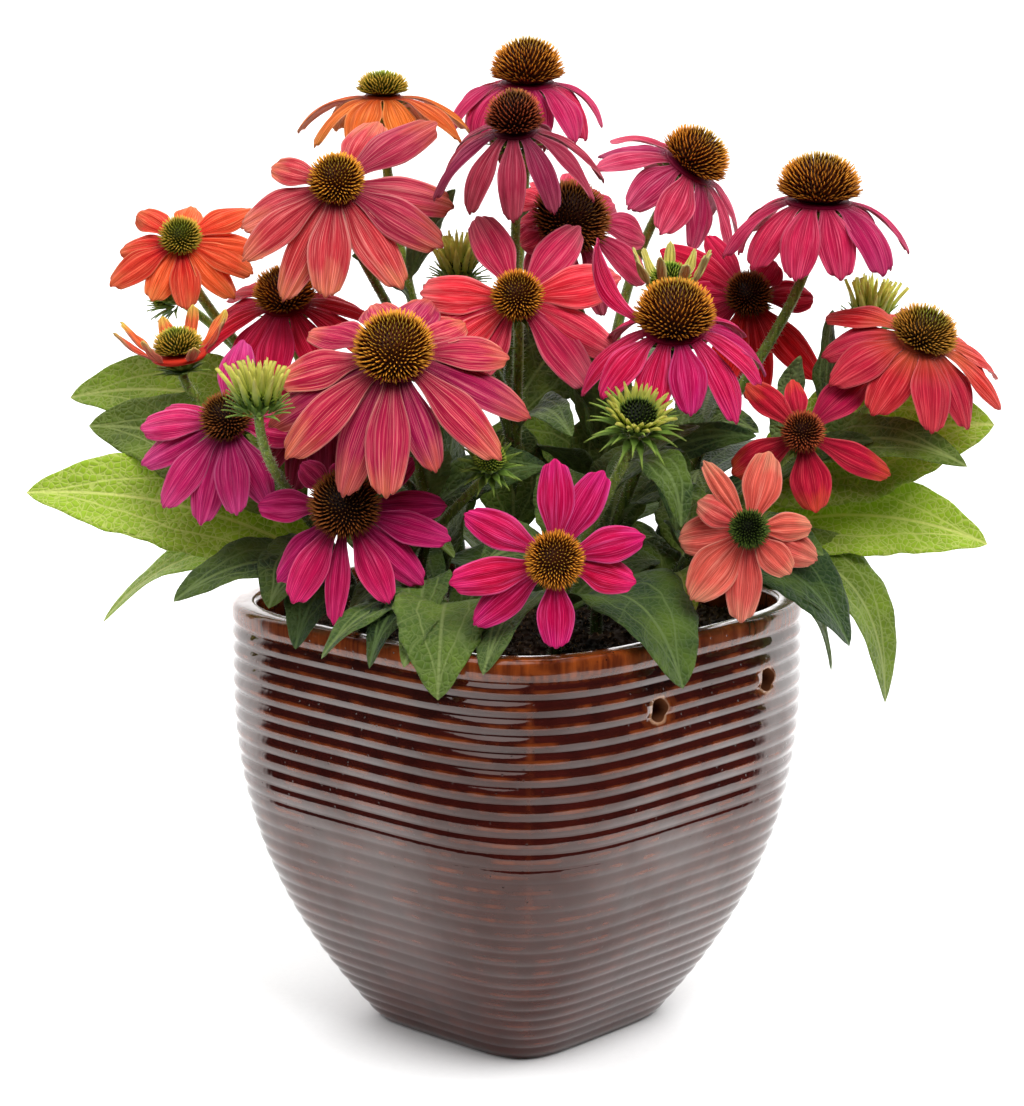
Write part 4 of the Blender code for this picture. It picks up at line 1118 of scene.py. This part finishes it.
# %% [markdown]
# ## Cones
# The cone is hundreds of stiff bracts, one beside each tiny floret, set on the golden angle so
# that they wind in two families of spirals. Geometry Nodes set one four-sided spine on each
# point of that spiral. The spines stand out from a dome and bend a little towards its top. They
# are dark at the foot, bright orange or gold at the tip, and greener in the young middle.

# %% Cone tree
GOLDEN_ANGLE = math.pi * (3 - math.sqrt(5))
LOWEST = 1.26  # how far down the dome the spiral goes, from 0 at the top to 2 at the bottom
ASTRAY = 0.14  # how far a spine may lean from its way, as a share of its length

cone_tree, n, given = geometry_tree("Spiny cone", {
    "Spines": int, "Radius": float, "Height": float, "Spine length": float,
    "Spine radius": float, "Upward bend": float, "Seed": int,
})
size_of_cone = n("CombineXYZ", given["Radius"], given["Radius"], given["Height"])


def domed(x, y, level):
    """A point of a unit ball, squashed to a dome that is flat below, at the cone's size."""
    upper = n("Math GREATER_THAN", level, 0)
    steep = n("MapRange", upper, 0, 1, 0.25, 0.75)
    tall = n("Math", n("Math MULTIPLY", level, steep), 0.25)
    return n("VectorMath MULTIPLY", n("CombineXYZ", x, y, tall), size_of_cone)


points = n("Points", given["Spines"])
index = n("InputIndex")
share = n("Math DIVIDE", n("Math", index, 0.5), given["Spines"])
level = n("Math MULTIPLY_ADD", share, -LOWEST, 1)
flat = n("Math SUBTRACT", 1, n("Math MULTIPLY", level, level))
flat = n("Math SQRT", flat)
angle = n("Math MULTIPLY", index, GOLDEN_ANGLE)
round_x, round_y = (
    n("Math MULTIPLY", flat, n("Math", angle, operation=part)) for part in ("COSINE", "SINE")
)
spot = domed(round_x, round_y, level)
stand = n("CombineXYZ", round_x, round_y, n("Math", level, given["Upward bend"]))
astray = n("RandomValue FLOAT_VECTOR", (-ASTRAY,) * 3, (ASTRAY,) * 3, None, given["Seed"])
stand = n("VectorMath", stand, astray)
turn = n("AlignRotationToVector", None, None, stand, axis="Z")
size = n("RandomValue FLOAT", 0.85, 1.12, None, given["Seed"])
# The florets in the middle are the youngest, so their spines are short and fine.
young = n("MapRange", level, 0.5, 1, 1, 0.62)
size = n("Math MULTIPLY", size, young)
placed = n("SetPosition", points, None, spot)
aged = n("StoreNamedAttribute FLOAT", placed, None, "level", level)
blunt = n("Math MULTIPLY", given["Spine radius"], 0.16)
spine = n("MeshCone", 4, 2, 1, blunt, given["Spine radius"], given["Spine length"])
x, y, z = n("SeparateXYZ", n("InputPosition")).outputs
along = n("Math DIVIDE", z, given["Spine length"])
spine = n("StoreNamedAttribute FLOAT", spine, None, "along", along)
spines = n("InstanceOnPoints", aged, None, spine, None, None, turn, size)
core = n("SetPosition", n("MeshUVSphere", 24, 14, 1), None, domed(x, y, z))
core = n("StoreNamedAttribute FLOAT", core, None, "level", z)
both = n("JoinGeometry", core)
cone_tree.links.new(spines.outputs[0], both.inputs[0])
finish_tree(n, both, given)

# %% Cone material
CONE_COLOURS = {
    "bronze": ("#1E0A05", "#6E3412", "#F0A034", "#CCAA3C"),
    "gold": ("#240E06", "#7A3C12", "#FFB43C", "#DCBC3C"),
    "wine": ("#180605", "#4A1A10", "#C8643A", "#A07034"),
    "umber": ("#120604", "#40190B", "#A4602C", "#86642A"),
    "moss": ("#201006", "#6A4814", "#E0A040", "#A8B040"),
    "lime": ("#222408", "#6A6C18", "#E0B848", "#9CB040"),
    "green": ("#121E06", "#3E5E12", "#A8B84A", "#84A838"),
    "dusky": ("#080A04", "#1C260E", "#5E7430", "#42521E"),
}


def cone_material(name, foot, middle, tip, young):
    """Stiff bracts, dry and a little glossy, coloured along their length."""
    made, n = new_material(name + " cone bracts")
    along = n("Attribute", attribute_name="along").outputs["Fac"]
    level = n("Attribute", attribute_name="level").outputs["Fac"]
    place = n("TexCoord").outputs["Object"]
    patch = n("TexNoise", place, 420, 2)  # single bracts differ: 2.4 mm patches
    raised = n("MapRange", level, -0.4, 0.8, 0.1, 0.55)
    depth = n("Math ADD", n("MapRange", along, 0, 0.5), raised)
    low = n("Mix RGBA", depth, foot, middle)
    # Florets open from the rim upwards: the oldest tips, at the bottom, have gone dark again.
    top = n("Mix RGBA", n("MapRange", level, 0.66, 0.98), tip, young)
    fresh = n("MapRange", level, -0.25, 0.35, 0.25, 1)
    reach = n("Math MULTIPLY", n("MapRange", along, 0.4, 0.75), fresh)
    tone = n("Mix RGBA", reach, low, top)
    light = n("MapRange", patch, 0.3, 0.7, 0.7, 1.3)
    tone = n("HueSaturation", 0.5, 1, light, 1, tone)
    rough = n("MapRange", patch, 0.3, 0.7, 0.4, 0.65)
    dry = n("BsdfPrincipled", tone, 0, rough, named={"Specular IOR Level": 0.15})
    n("OutputMaterial", dry)
    return made


CONES = {name: cone_material(name, *codes) for name, codes in CONE_COLOURS.items()}

# %% Cones on the heads
SPINE = 4.1  # mm, on a cone of BIG_CONE
BIG_CONE = 13  # mm, its radius
SPINE_RADIUS = 0.52
SPINES_PER_MM = 38  # of the cone's radius
INSIDE = 0.77  # the dome under the spines, as a share of the cone's radius
INSIDE_HEIGHT = 0.88
SUNK = {"14": 1.5, "20": 1.4}  # mm that a cone sits deeper in its petals than the others
seed_mesh = bpy.data.meshes.new("seed")


def spiny_cone(spines, radius, height, length, thick, bend, seed, surface):
    """A cone round Z. Its sizes are in mm."""
    return grown(cone_tree, seed_mesh, {
        "Spines": spines, "Radius": radius * MM, "Height": height * MM, "Spine length": length * MM,
        "Spine radius": thick * MM, "Upward bend": bend, "Seed": seed, "Material": surface,
    })


for seed, (name, head) in enumerate(ALL_HEADS.items()):
    surface = CONES[head.florets]
    radius, height = head.cone
    length = SPINE * (0.4 + 0.6 * radius / BIG_CONE)
    made = spiny_cone(int(SPINES_PER_MM * radius), radius * INSIDE, height * INSIDE_HEIGHT,
                      length, SPINE_RADIUS, 0.5, seed, surface)
    made.transform(head_matrix(head, GAP - SUNK.get(name, 0) - 0.06 * height))
    # Dusky florets are green ones that have dried, and share their slot.
    slot = "cone_green" if head.florets == "dusky" else "cone_" + head.florets
    show("cone_" + name, made, surface, slot, solid_of(name, "cone"))
print("last cone", triangles(made), "triangles")

# %% [markdown]
# ## Stems and stalks
# Every stem rises from the compost and curves into the back of its head, and side stalks leave
# it for lower heads and buds. A cubic curve with four control points gives each its line. Round
# the line goes a tube of twelve sides, which thins towards the head.

# %% Stalk lines
STEM_RADIUS = 2.4
STALK_RADIUS = 1.9
ROOT_DEPTH = 12
TUBE_SIDES = 12


def bezier(ends, share):
    first, second, third, last = ends
    rest = 1 - share
    near = first * rest**3 + second * 3 * rest**2 * share
    return near + third * 3 * rest * share**2 + last * share**3


def stalk_line(start, heading, goal):
    """Control points of a stalk that leaves along a heading and enters a head along its axis."""
    axis = head_axes(goal)[0]
    end = Vector(goal.at) - axis * (DISC_HEIGHT + GAP + CUP_HEIGHT - 1.5)
    reach = (end - start).length
    return start, start + heading * reach * 0.36, end - axis * reach * 0.3, end


def stem_line(stem):
    """Control points of a stem above the compost."""
    return stalk_line(Vector((*stem.root, COMPOST_TOP + 3)), UP, GOALS[stem.top])


def side_line(stem, share, name):
    """Control points of a side stalk that leaves the stem at a share of its length."""
    ends = stem_line(stem)
    start = bezier(ends, share)
    along = (bezier(ends, share + 0.05) - start).normalized()
    aim = (Vector(GOALS[name].at) - start).normalized()
    return stalk_line(start, (along + aim * 0.6).normalized(), GOALS[name])


def tube(patches, points, first, last, own):
    """A round stalk through points, thinning from the first radius to the last."""
    points = np.array([tuple(point) for point in points])
    heading = unit(np.gradient(points, axis=0))
    side = unit(np.cross(heading, (0.3, 0.9, 0.1)))
    other = np.cross(heading, side)
    turns = np.linspace(0, math.tau, TUBE_SIDES, endpoint=False)
    share = np.linspace(0, 1, len(points))
    ridged = 1 + 0.05 * np.cos(3 * turns)  # a stalk is faintly three-sided
    radii = (first + (last - first) * share)[:, None] * ridged
    ring = side[:, None] * np.cos(turns)[:, None] + other[:, None] * np.sin(turns)[:, None]
    body = points[:, None] + ring * radii[..., None]
    values = (turns / math.tau, share[:, None], own)
    blade = np.stack([np.broadcast_to(value, radii.shape) for value in values], -1)
    patches.add(body, closed_faces(len(points), TUBE_SIDES), blade=blade.reshape(-1, 3))


# %% Green materials
stalk_skin, n = new_material("hairy green stalk skin")
place = n("TexCoord").outputs["Object"]
share = point_values(n, "blade")["Y"]
drawn_out = n("Mapping", place, named={"Scale": (900, 900, 90)})
streaks = n("TexNoise", drawn_out, 1, 3)  # lines about 1 mm wide and 10 mm long
flecks = n("TexNoise", place, 700, 2)  # red flecks about 1.4 mm across
lines = n("MapRange", streaks, 0.35, 0.65)
old = n("Mix RGBA", lines, "#26381A", "#4E6426")
fresh = n("Mix RGBA", lines, "#5E7A28", "#98AC44")
tone = n("Mix RGBA", n("MapRange", share, 0.25, 0.8), old, fresh)
ruddy = n("MapRange", flecks, 0.56, 0.66, 0, 0.6)
tone = n("Mix RGBA", ruddy, tone, "#6A3A2A")
bump = n("Bump", 0.5, 0.0003, None, streaks)
skin = n("BsdfPrincipled", tone, 0, 0.5, named={
    "Normal": bump, "Sheen Weight": 0.1, "Specular IOR Level": 0.3,
})
n("OutputMaterial", skin)


# %% Stalks of each stem
def stalks_of(name, stem):
    patches = Patches()
    ends = stem_line(stem)
    points = [Vector((*stem.root, COMPOST_TOP - ROOT_DEPTH))]
    points += [bezier(ends, s) for s in np.linspace(0, 1, 28)]
    tube(patches, points, STEM_RADIUS, STALK_RADIUS, 0.5)
    for goal, share in stem.stalks:
        line = side_line(stem, share, goal)
        points = [bezier(line, s) for s in np.linspace(0, 1, 20)]
        tube(patches, points, STALK_RADIUS, STALK_RADIUS * 0.9, 0.2)
    return patches.mesh("stalks")


stalk_meshes = {}
for name, stem in STEMS.items():
    stalk_meshes[name] = stalks_of(name, stem)
    show(f"stem_{name}_stalks", stalk_meshes[name], stalk_skin, "leaf_green", "leafy_stem_" + name)

# %% [markdown]
# ## Leaves
# A coneflower's leaf is a long pointed oval on a short stalk. It folds up along a strong
# midrib, and its edge waves. Two side veins leave the midrib near the base and run in arches
# almost to the tip, and finer veins net the fields between. The leaf is a closed blade like a
# petal, and its material draws the veins from the values across and along.

# %% Leaf shape
LEAF_ROWS = 44
LEAF_COLUMNS = 17
LEAF_THICKNESS = 0.6
PETIOLE = 0.1  # the share of a leaf's length before its blade opens
FOLD = 0.2  # how far a leaf's edges rise above its midrib, as a share of its half width
WAVE = 1.3
BROAD = 1.3  # the outer leaves spread wider than their solids, whose edges run straight
LESS_BROAD = 1.06  # and the inner ones a little
# Painted backlight: leaves with light shining through them from behind get a paler, yellower green,
# listed by their tips: 1 is the palest green.
BACKLIT_LEAVES = {
    (-184.9, -20, 212): 0.95, (-163, -4, 235): 0.35, (-177, 44, 239): 0.55, (-160, -2, 158): 0.9,
    (183.9, 12, 233): 0.85, (168, -27, 223): 0.3, (181, 2, 188): 0.95, (140, -22, 131): 0.4,
    (-28, -107, 153): 0.22, (59, -90, 153): 0.08, (62, -64, 170): 0.75, (-35, -82, 170): 0.15,
}


def leaf_grid(leaf):
    base = bezier(stem_line(STEMS[leaf.stem]), leaf.share)
    tip = Vector(leaf.tip)
    along = (tip - base).normalized()
    rise = (UP - along * along.z).normalized()
    crown = (base + tip) / 2 + rise * 2 * leaf.bow
    flat = Matrix.Rotation(math.radians(leaf.roll), 3, along) @ rise.cross(along)
    draw = random.Random(f"leaf {leaf.stem} {leaf.tip}")
    phase = draw.uniform(0, math.tau)
    base, crown, tip, flat = (np.array(vector) for vector in (base, crown, tip, flat))
    share = np.linspace(0, 1, LEAF_ROWS)
    across = np.linspace(-1, 1, LEAF_COLUMNS)
    v = share[:, None]
    centre = base * (1 - v) ** 2 + crown * 2 * (1 - v) * v + tip * v**2
    heading = unit((crown - base) * (1 - v) + (tip - crown) * v)
    side = unit(flat - heading * (heading @ flat)[:, None])
    normal = np.cross(heading, side)
    opened = np.maximum(0, (share - PETIOLE) / (1 - PETIOLE))
    width = 0.09 * (1 - share**12) + 0.91 * np.maximum(0, np.sin(math.pi * opened**0.82)) ** 0.72
    teeth = 1 + 0.035 * np.sin(26 * share + phase) * (width > 0.3) + 0.02 * np.sin(61 * share)
    broad = BROAD if leaf in SIDE_LEAVES + FRONT_LEAVES else LESS_BROAD
    half = (leaf.width * broad / 2 * width * teeth)[:, None]
    ripple = (WAVE * width * smooth(share * 3))[:, None]
    u = across[None, :]
    wave = np.where(u > 0, np.sin(phase + 14 * v), np.sin(phase + 14 * v + 2))
    height = FOLD * half * np.abs(u) ** 1.3 + ripple * wave * u**2
    # The blade puffs up a little between the side veins, which lie in shallow valleys.
    puffs = np.cos(9 * math.pi * (v * 1.6 - 0.5 * np.abs(u))) * np.sin(math.pi * np.abs(u))
    height = height + 0.3 * width[:, None] * puffs
    grid = centre[:, None] + side[:, None] * (half * u)[..., None]
    grid = grid + normal[:, None] * height[..., None]
    # Each leaf's share of painted backlight; a leaf not listed gets a little at random.
    light = BACKLIT_LEAVES.get(leaf.tip, 0.22 * draw.random())
    return grid, across, share, half, light, draw.random()


def leaves_of(name):
    patches = Patches()
    for leaf in LEAVES:
        if leaf.stem == name:
            grid, across, share, half, light, own = leaf_grid(leaf)
            closed_blade(patches, grid, LEAF_THICKNESS, across, share, half, (light, own))
    return patches.mesh("leaves") if patches.count else None


# %% Leaf material
leaf_skin, n = new_material("coneflower leaf blade")
u, v, half = point_values(n, "blade")
under, light, own = point_values(n, "look")
place = n("TexCoord").outputs["Object"]
side = n("Math ABSOLUTE", u)
from_middle = n("Math MULTIPLY", side, half)  # mm from the midrib
midrib = n("MapRange", from_middle, 0.35, 0.95, 1, 0)
# The two arched side veins: where |across| is 0.55 of a half circle along the leaf.
arch = n("Math SINE", n("Math MULTIPLY", math.pi, v))
arch = n("Math MULTIPLY", arch, 0.52)
off = n("Math ABSOLUTE", n("Math SUBTRACT", side, arch))
off = n("Math MULTIPLY", off, half)
arches = n("MapRange", off, 0.2, 0.6, 0.8, 0)
# Side veins leave the midrib at a slant, one each 9 % of the leaf's length.
slant = n("Math SUBTRACT", v, n("Math MULTIPLY", side, 0.17))
wobble = n("TexNoise", place, 60, 2)
slant = n("Math", slant, n("Math MULTIPLY", wobble, 0.05))
comb = n("Math PINGPONG", slant, 0.085)
pinnate = n("MapRange", comb, 0.0, 0.009, 0.6, 0)
net = n("TexVoronoi", place, 420, feature="DISTANCE_TO_EDGE")  # fields 2.4 mm wide
netted = n("MapRange", net, 0.03, 0.12, 0.65, 0)
# The vein net shows more on leaves with painted backlight.
netted = n("Math MULTIPLY", netted, n("MapRange", light, 0, 0.7, 0.4, 1))
veins = n("Math MAXIMUM", pinnate, netted)
veins = n("Math MAXIMUM", n("Math MAXIMUM", midrib, arches), veins)
cloud = n("TexNoise", place, 70, 3)
# Painted backlight: the green turns paler and yellower by the leaf's backlight share, with cloudy
# patches.
backlit_share = n("Math", light, n("MapRange", cloud, 0.3, 0.7, -0.14, 0.14))
dark = n("Mix RGBA", own, "#20321C", "#36502A")
green = n("Mix RGBA", backlit_share, dark, "#A6C634")
# Painted backlight also turns the veins pale yellow.
backlit_vein_tone = n("Mix RGBA", light, "#5A7440", "#DCE484")
tone = n("Mix RGBA", veins, green, backlit_vein_tone)
pale = n("Math MULTIPLY", under, 0.4)
tone = n("Mix RGBA", pale, tone, "#9AAE78")
relief = n("Math SUBTRACT", n("MapRange", net, 0, 0.3), veins)
bump = n("Bump", 0.55, 0.0005, None, relief)
gloss = n("MapRange", cloud, 0.3, 0.7, 0.42, 0.58)
blade = n("BsdfPrincipled", tone, 0, gloss, named={
    "Normal": bump, "Sheen Weight": 0.08, "Specular IOR Level": 0.35,
})
bright = n("HueSaturation", 0.485, 1.15, 1.25, 1, tone)
n("OutputMaterial", n("MixShader", 0.25, blade, n("BsdfTranslucent", bright)))

count = 0
for name in STEMS:
    made = leaves_of(name)
    if made:
        count += triangles(made)
        show(f"stem_{name}_leaves", made, leaf_skin, "leaf_green", "leafy_stem_" + name)
print("leaves", count, "triangles")

# %% [markdown]
# ## Green cups, buds and hairs
# Under each head stand two rings of small pointed bracts, the cup that once held the bud. The
# same ring, drawn closer, makes the spiky green buds. A ring is a pointed blade set on points
# round a circle, so one tree serves every cup, bud and ring of young rays.

# %% Ring tree
ring_tree, n, given = geometry_tree("Rings of bracts", {
    "Count": int, "Rings": int, "Radius": float, "Ring step": float, "Drop": float,
    "Tilt": float, "Tilt step": float, "Seed": int, "Bract": "object",
})
index = n("InputIndex")
points = n("Points", n("IntegerMath MULTIPLY", given["Count"], given["Rings"]))
ring = n("IntegerMath DIVIDE_FLOOR", index, given["Count"])
# Every second ring is turned by half a step, so that its bracts stand between the others.
step = n("Math DIVIDE", n("Math", index, n("Math MULTIPLY", ring, 0.5)), given["Count"])
angle = n("Math MULTIPLY", step, math.tau)
radius = n("Math MULTIPLY_ADD", ring, given["Ring step"], given["Radius"])
sink = n("Math MULTIPLY", n("Math MULTIPLY", ring, given["Drop"]), -1)
x, y = (n("Math MULTIPLY", radius, n("Math", angle, operation=part)) for part in ("COSINE", "SINE"))
placed = n("SetPosition", points, None, n("CombineXYZ", x, y, sink))
jitter = n("RandomValue FLOAT", -0.16, 0.16, None, given["Seed"])
tilt = n("Math", n("Math MULTIPLY_ADD", ring, given["Tilt step"], given["Tilt"]), jitter)
size = n("RandomValue FLOAT", 0.86, 1.1, None, given["Seed"])
turn = n("EulerToRotation", n("CombineXYZ", 0, tilt, angle))
bract = n("ObjectInfo", given["Bract"]).outputs["Geometry"]
bracts = n("InstanceOnPoints", placed, None, bract, None, None, turn, size)
finish_tree(n, bracts, given)

# %% Bracts and rays to set in rings
def pointed_blade(name, length, width, curl, thickness=0.5, point=2.2):
    """A blade that stands up from the origin and bows outwards, along X, pointed or blunt."""
    rows, columns = 9, 5
    share, across = np.linspace(0, 1, rows), np.linspace(-1, 1, columns)
    u, v = np.meshgrid(across, share)
    swell = 0.55 + 0.45 * np.sin(math.pi * np.minimum(1, v * 1.6))
    half = width / 2 * swell * (1 - v**point) + 0.05
    bow = curl * v**2 + 0.25 * half * (1 - u**2)
    grid = np.stack([bow, half * u, length * v - 0.3], -1)
    patches = Patches()
    closed_blade(patches, grid, thickness, across, share, 1, (0.5, 0.5))
    made = bpy.data.objects.new(name, patches.mesh(name))
    scene.collection.objects.link(made)
    return made


cup_bract = pointed_blade("cup bract", 8, 2.9, 1.2)
bud_bract = pointed_blade("bud bract", 8.5, 2.6, 2.2)
curled_bract = pointed_blade("curled bract", 11, 3.2, 6.5)
young_ray = pointed_blade("young ray", 13, 2.6, 2.2, 1.3, 7)
short_ray = pointed_blade("short ray", 7.5, 2.4, 1.6, 1.1, 6)

bract_skin, n = new_material("green bract")
v = point_values(n, "blade")["Y"]
place = n("TexCoord").outputs["Object"]
mottle = n("TexNoise", place, 320, 3)  # patches 3 mm wide
tone = n("Mix RGBA", mottle, "#3E5C26", "#7E9C3E")
tone = n("Mix RGBA", n("MapRange", v, 0.5, 1, 0, 0.5), tone, "#A8B858")
bump = n("Bump", 0.4, 0.0003, None, mottle)
skin = n("BsdfPrincipled", tone, 0, 0.6, named={"Normal": bump, "Specular IOR Level": 0.2})
n("OutputMaterial", skin)

ray_skin, n = new_material("young yellow-green ray")
v = point_values(n, "blade")["Y"]
mottle = n("TexNoise", n("TexCoord").outputs["Object"], 260, 2)
tone = n("Mix RGBA", n("MapRange", v, 0.1, 0.9), "#96AC34", "#E6E070")
tone = n("HueSaturation", 0.5, 1, n("MapRange", mottle, 0.3, 0.7, 0.85, 1.15), 1, tone)
skin = n("BsdfPrincipled", tone, 0, 0.5)
n("OutputMaterial", n("MixShader", 0.25, skin, n("BsdfTranslucent", tone)))


# %% Cups, buds and young rays
CUP_SIDES = 20
LOW = -DISC_HEIGHT - GAP - CUP_HEIGHT  # where a cup begins, from the foot of its cone


def ring(head, height, seed, surface, bract, count, rings, radius, tilt, step=(0, 1.2, 0.35)):
    """Rings of bracts on a head: step is how each lower ring widens, drops and tilts more."""
    made = grown(ring_tree, seed_mesh, {
        "Count": count, "Rings": rings, "Radius": radius * MM, "Ring step": step[0] * MM,
        "Drop": step[1] * MM, "Tilt": tilt, "Tilt step": step[2], "Seed": seed, "Bract": bract,
        "Material": surface,
    })
    made.transform(head_matrix(head, height))
    return made


def cup_solid(head, radius):
    """The green base under a head: from the stalk's width out to the disc."""
    profile = [
        (STALK_RADIUS * 0.5, -CUP_HEIGHT - 0.4), (STALK_RADIUS * 1.05, -CUP_HEIGHT),
        (radius * 0.55, -CUP_HEIGHT * 0.72), (radius * 0.86, -CUP_HEIGHT * 0.4),
        (radius, -0.4), (radius * 0.8, 0), (0.2, 0),
    ]
    patches = Patches()
    faces = closed_faces(len(profile), CUP_SIDES)
    patches.add(turned(profile, CUP_SIDES), faces, blade=(0, 0.2, 0.5))
    made = patches.mesh("cup")
    made.transform(head_matrix(head, -DISC_HEIGHT - GAP))
    return made


def joined(meshes, name):
    """One mesh from several."""
    whole = bmesh.new()
    for mesh in meshes:
        whole.from_mesh(mesh)
    made = bpy.data.meshes.new(name)
    whole.to_mesh(made)
    whole.free()
    made.shade_smooth()
    return made


def show_green(name, rings, base):
    """A piece made of rings of bracts and the green base that they stand on."""
    show(name, joined([rings, base], name), bract_skin, "leaf_green")


for seed, (name, head) in enumerate(ALL_HEADS.items()):
    radius = 0.62 * head.cone[0] + 1.5
    bracts = ring(head, LOW + 2.2, seed, bract_skin, cup_bract, 13, 2, max(2.4, radius * 0.5), 0.95)
    show_green("cup_" + name, bracts, cup_solid(head, radius))

# The bud at the front has begun to open: its bracts curl away from a ring of short rays.
OPENING = "25"
for seed, (name, bud) in enumerate(BUDS.items()):
    wide = bud.radius
    dome = CONES["dusky" if name == OPENING else "green"]
    made = spiny_cone(200, wide * 0.9, bud.height, 2.2, 0.6, 0.8, seed, dome)
    made.transform(head_matrix(bud, -DISC_HEIGHT - 0.25 * bud.height))
    show("bud_" + name, made, dome, "leaf_green")
    pattern = curled_bract if name == OPENING else bud_bract
    below = (0.3, 1, 0.45)
    bracts = ring(bud, LOW + 2.6, seed, bract_skin, pattern, 13, 3, wide * 0.72, 0.3, below)
    show_green("bud_bracts_" + name, bracts, cup_solid(bud, wide * 0.86))
    rays = None
    if bud.rays:
        rays = ring(bud, -2.5, seed, ray_skin, young_ray, 12, 3, wide * 0.9, 0.28, (-2, -0.8, -0.1))
    elif name == OPENING:
        rays = ring(bud, -1, seed, ray_skin, short_ray, 19, 2, wide, 0.55, (-1.5, 0, -0.2))
    if rays:
        show("young_rays_" + name, rays, ray_skin, "petal_straw")
for pattern in (cup_bract, bud_bract, curled_bract, young_ray, short_ray):
    bpy.data.objects.remove(pattern)

# %% Hairs on the stalks
tree, n, given = geometry_tree("Stalk hairs", {
    "Hairs per square metre": float, "Length": float, "Radius": float, "Seed": int,
})
density = given["Hairs per square metre"]
spots = n("DistributePointsOnFaces", given["Geometry"], None, density, given["Seed"])
hair = n("MeshCone", 3, 1, 0, given["Radius"], given["Length"], fill_type="NONE")
lean = n("RandomValue FLOAT_VECTOR", (-0.5, -0.5, -0.2), (0.5, 0.5, 0.8), None, 2)
way = n("VectorMath", spots.outputs["Normal"], lean)
turn = n("AlignRotationToVector", None, None, way, axis="Z")
size = n("RandomValue FLOAT", 0.5, 1.2, None, 4)
hairs = n("InstanceOnPoints", spots.outputs["Points"], None, hair, None, None, turn, size)
finish_tree(n, hairs, given)

hair_skin, n = new_material("stiff pale hair")
patchy = n("TexNoise", n("TexCoord").outputs["Object"], 200, 1)  # some hairs are greener
tone = n("Mix RGBA", patchy, "#A8B888", "#E4E8D0")
n("OutputMaterial", n("BsdfPrincipled", tone, 0, 0.6))
whole = joined(list(stalk_meshes.values()), "all stalks")
hair_mesh = grown(tree, whole, {
    "Hairs per square metre": 6e5, "Length": 1.5 * MM, "Radius": 0.09 * MM, "Seed": 5,
    "Material": hair_skin,
})
show("stalk_hairs", hair_mesh, hair_skin, "leaf_green")
print("hairs", triangles(hair_mesh), "triangles")

# %% [markdown]
# ## Studio
# The plant stands on a plain white floor that reaches as far back as the camera sees, and ends
# a little way in front of the pot. A large soft light stands at the upper right, and a pale sky
# fills in from behind and above. The side that the camera stands on is dark, as a room behind a
# photographer is. The glaze mirrors all of it: the floor low on the wall, and higher up each rib
# shows a bright line of floor with the dark room above it, which gives the pot its bands.

# %% Floor, sky and light
FLOOR_FRONT = 0.36  # m from the pot's axis to the front edge of the floor
FLOOR_HALF = 0.32  # m, half the width of that edge
FLOOR_SPREAD = 0.3  # m that each side moves out in a metre
FLOOR_BACK = 60  # m: the floor widens to its back edge, past what the camera sees
SKY = 2.2  # brightness of the white wall behind and beside the plant
ROOM = 0.03  # brightness of the room on the camera side
CEILING = 0.45  # brightness straight above

floor_paint, n = new_material("matt white floor paint")
grain = n("TexNoise", n("TexCoord").outputs["Object"], 400, 2)
tone = n("Mix RGBA", grain, "#F4F4F4", "#FAFAFA")
n("OutputMaterial", n("BsdfPrincipled", tone, 0, 0.8))
ground = bpy.data.meshes.new("floor")
wide = FLOOR_HALF + FLOOR_SPREAD * FLOOR_BACK
front, back = -FLOOR_FRONT, FLOOR_BACK
corners = [(-FLOOR_HALF, front, 0), (FLOOR_HALF, front, 0), (wide, back, 0), (-wide, back, 0)]
ground.from_pydata(corners, [], [(0, 1, 2, 3)])
ground.materials.append(floor_paint)
ground_piece = bpy.data.objects.new("floor", ground)
scene.collection.objects.link(ground_piece)
ground_piece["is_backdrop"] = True

world = bpy.data.worlds.new("studio")
world.use_nodes = True
world.node_tree.nodes.clear()
n = partial(add, world.node_tree)
way = n("SeparateXYZ", n("TexCoord").outputs["Generated"]).outputs
behind = n("MapRange", way["Y"], 0.22, 0.34, ROOM, SKY, interpolation_type="SMOOTHSTEP")
overhead = n("MapRange", way["Z"], 0.7, 0.9, 0, CEILING, interpolation_type="SMOOTHSTEP")
glow = n("Math MAXIMUM", behind, overhead)
n("OutputWorld", n("Background", n("CombineXYZ", glow, glow, glow), 1))
scene.world = world

# Each soft light: the way it comes from, how wide it looks in degrees, and its strength. The
# key light is too large for a lamp, and would leave round spots in the glaze.
LIGHTS = {"key": ((0.5, -0.6, 1.1), 38, 2.9), "fill": ((-0.6, -0.7, 1.2), 60, 1.4)}
for name, (way, width, strength) in LIGHTS.items():
    light = bpy.data.lights.new(name, "SUN")
    light.angle = math.radians(width)
    light.energy = strength
    lamp = bpy.data.objects.new(name, light)
    lamp.visible_glossy = name != "key"
    lamp.rotation_euler = Vector(way).to_track_quat("Z", "Y").to_euler()
    scene.collection.objects.link(lamp)
scene.view_settings.view_transform = "Standard"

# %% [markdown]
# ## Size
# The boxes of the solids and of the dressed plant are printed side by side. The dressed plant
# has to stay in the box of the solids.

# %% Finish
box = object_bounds()
for corners in zip(SOLID_BOX, box):
    print(*([round(value / MM, 1) for value in corner] for corner in corners))
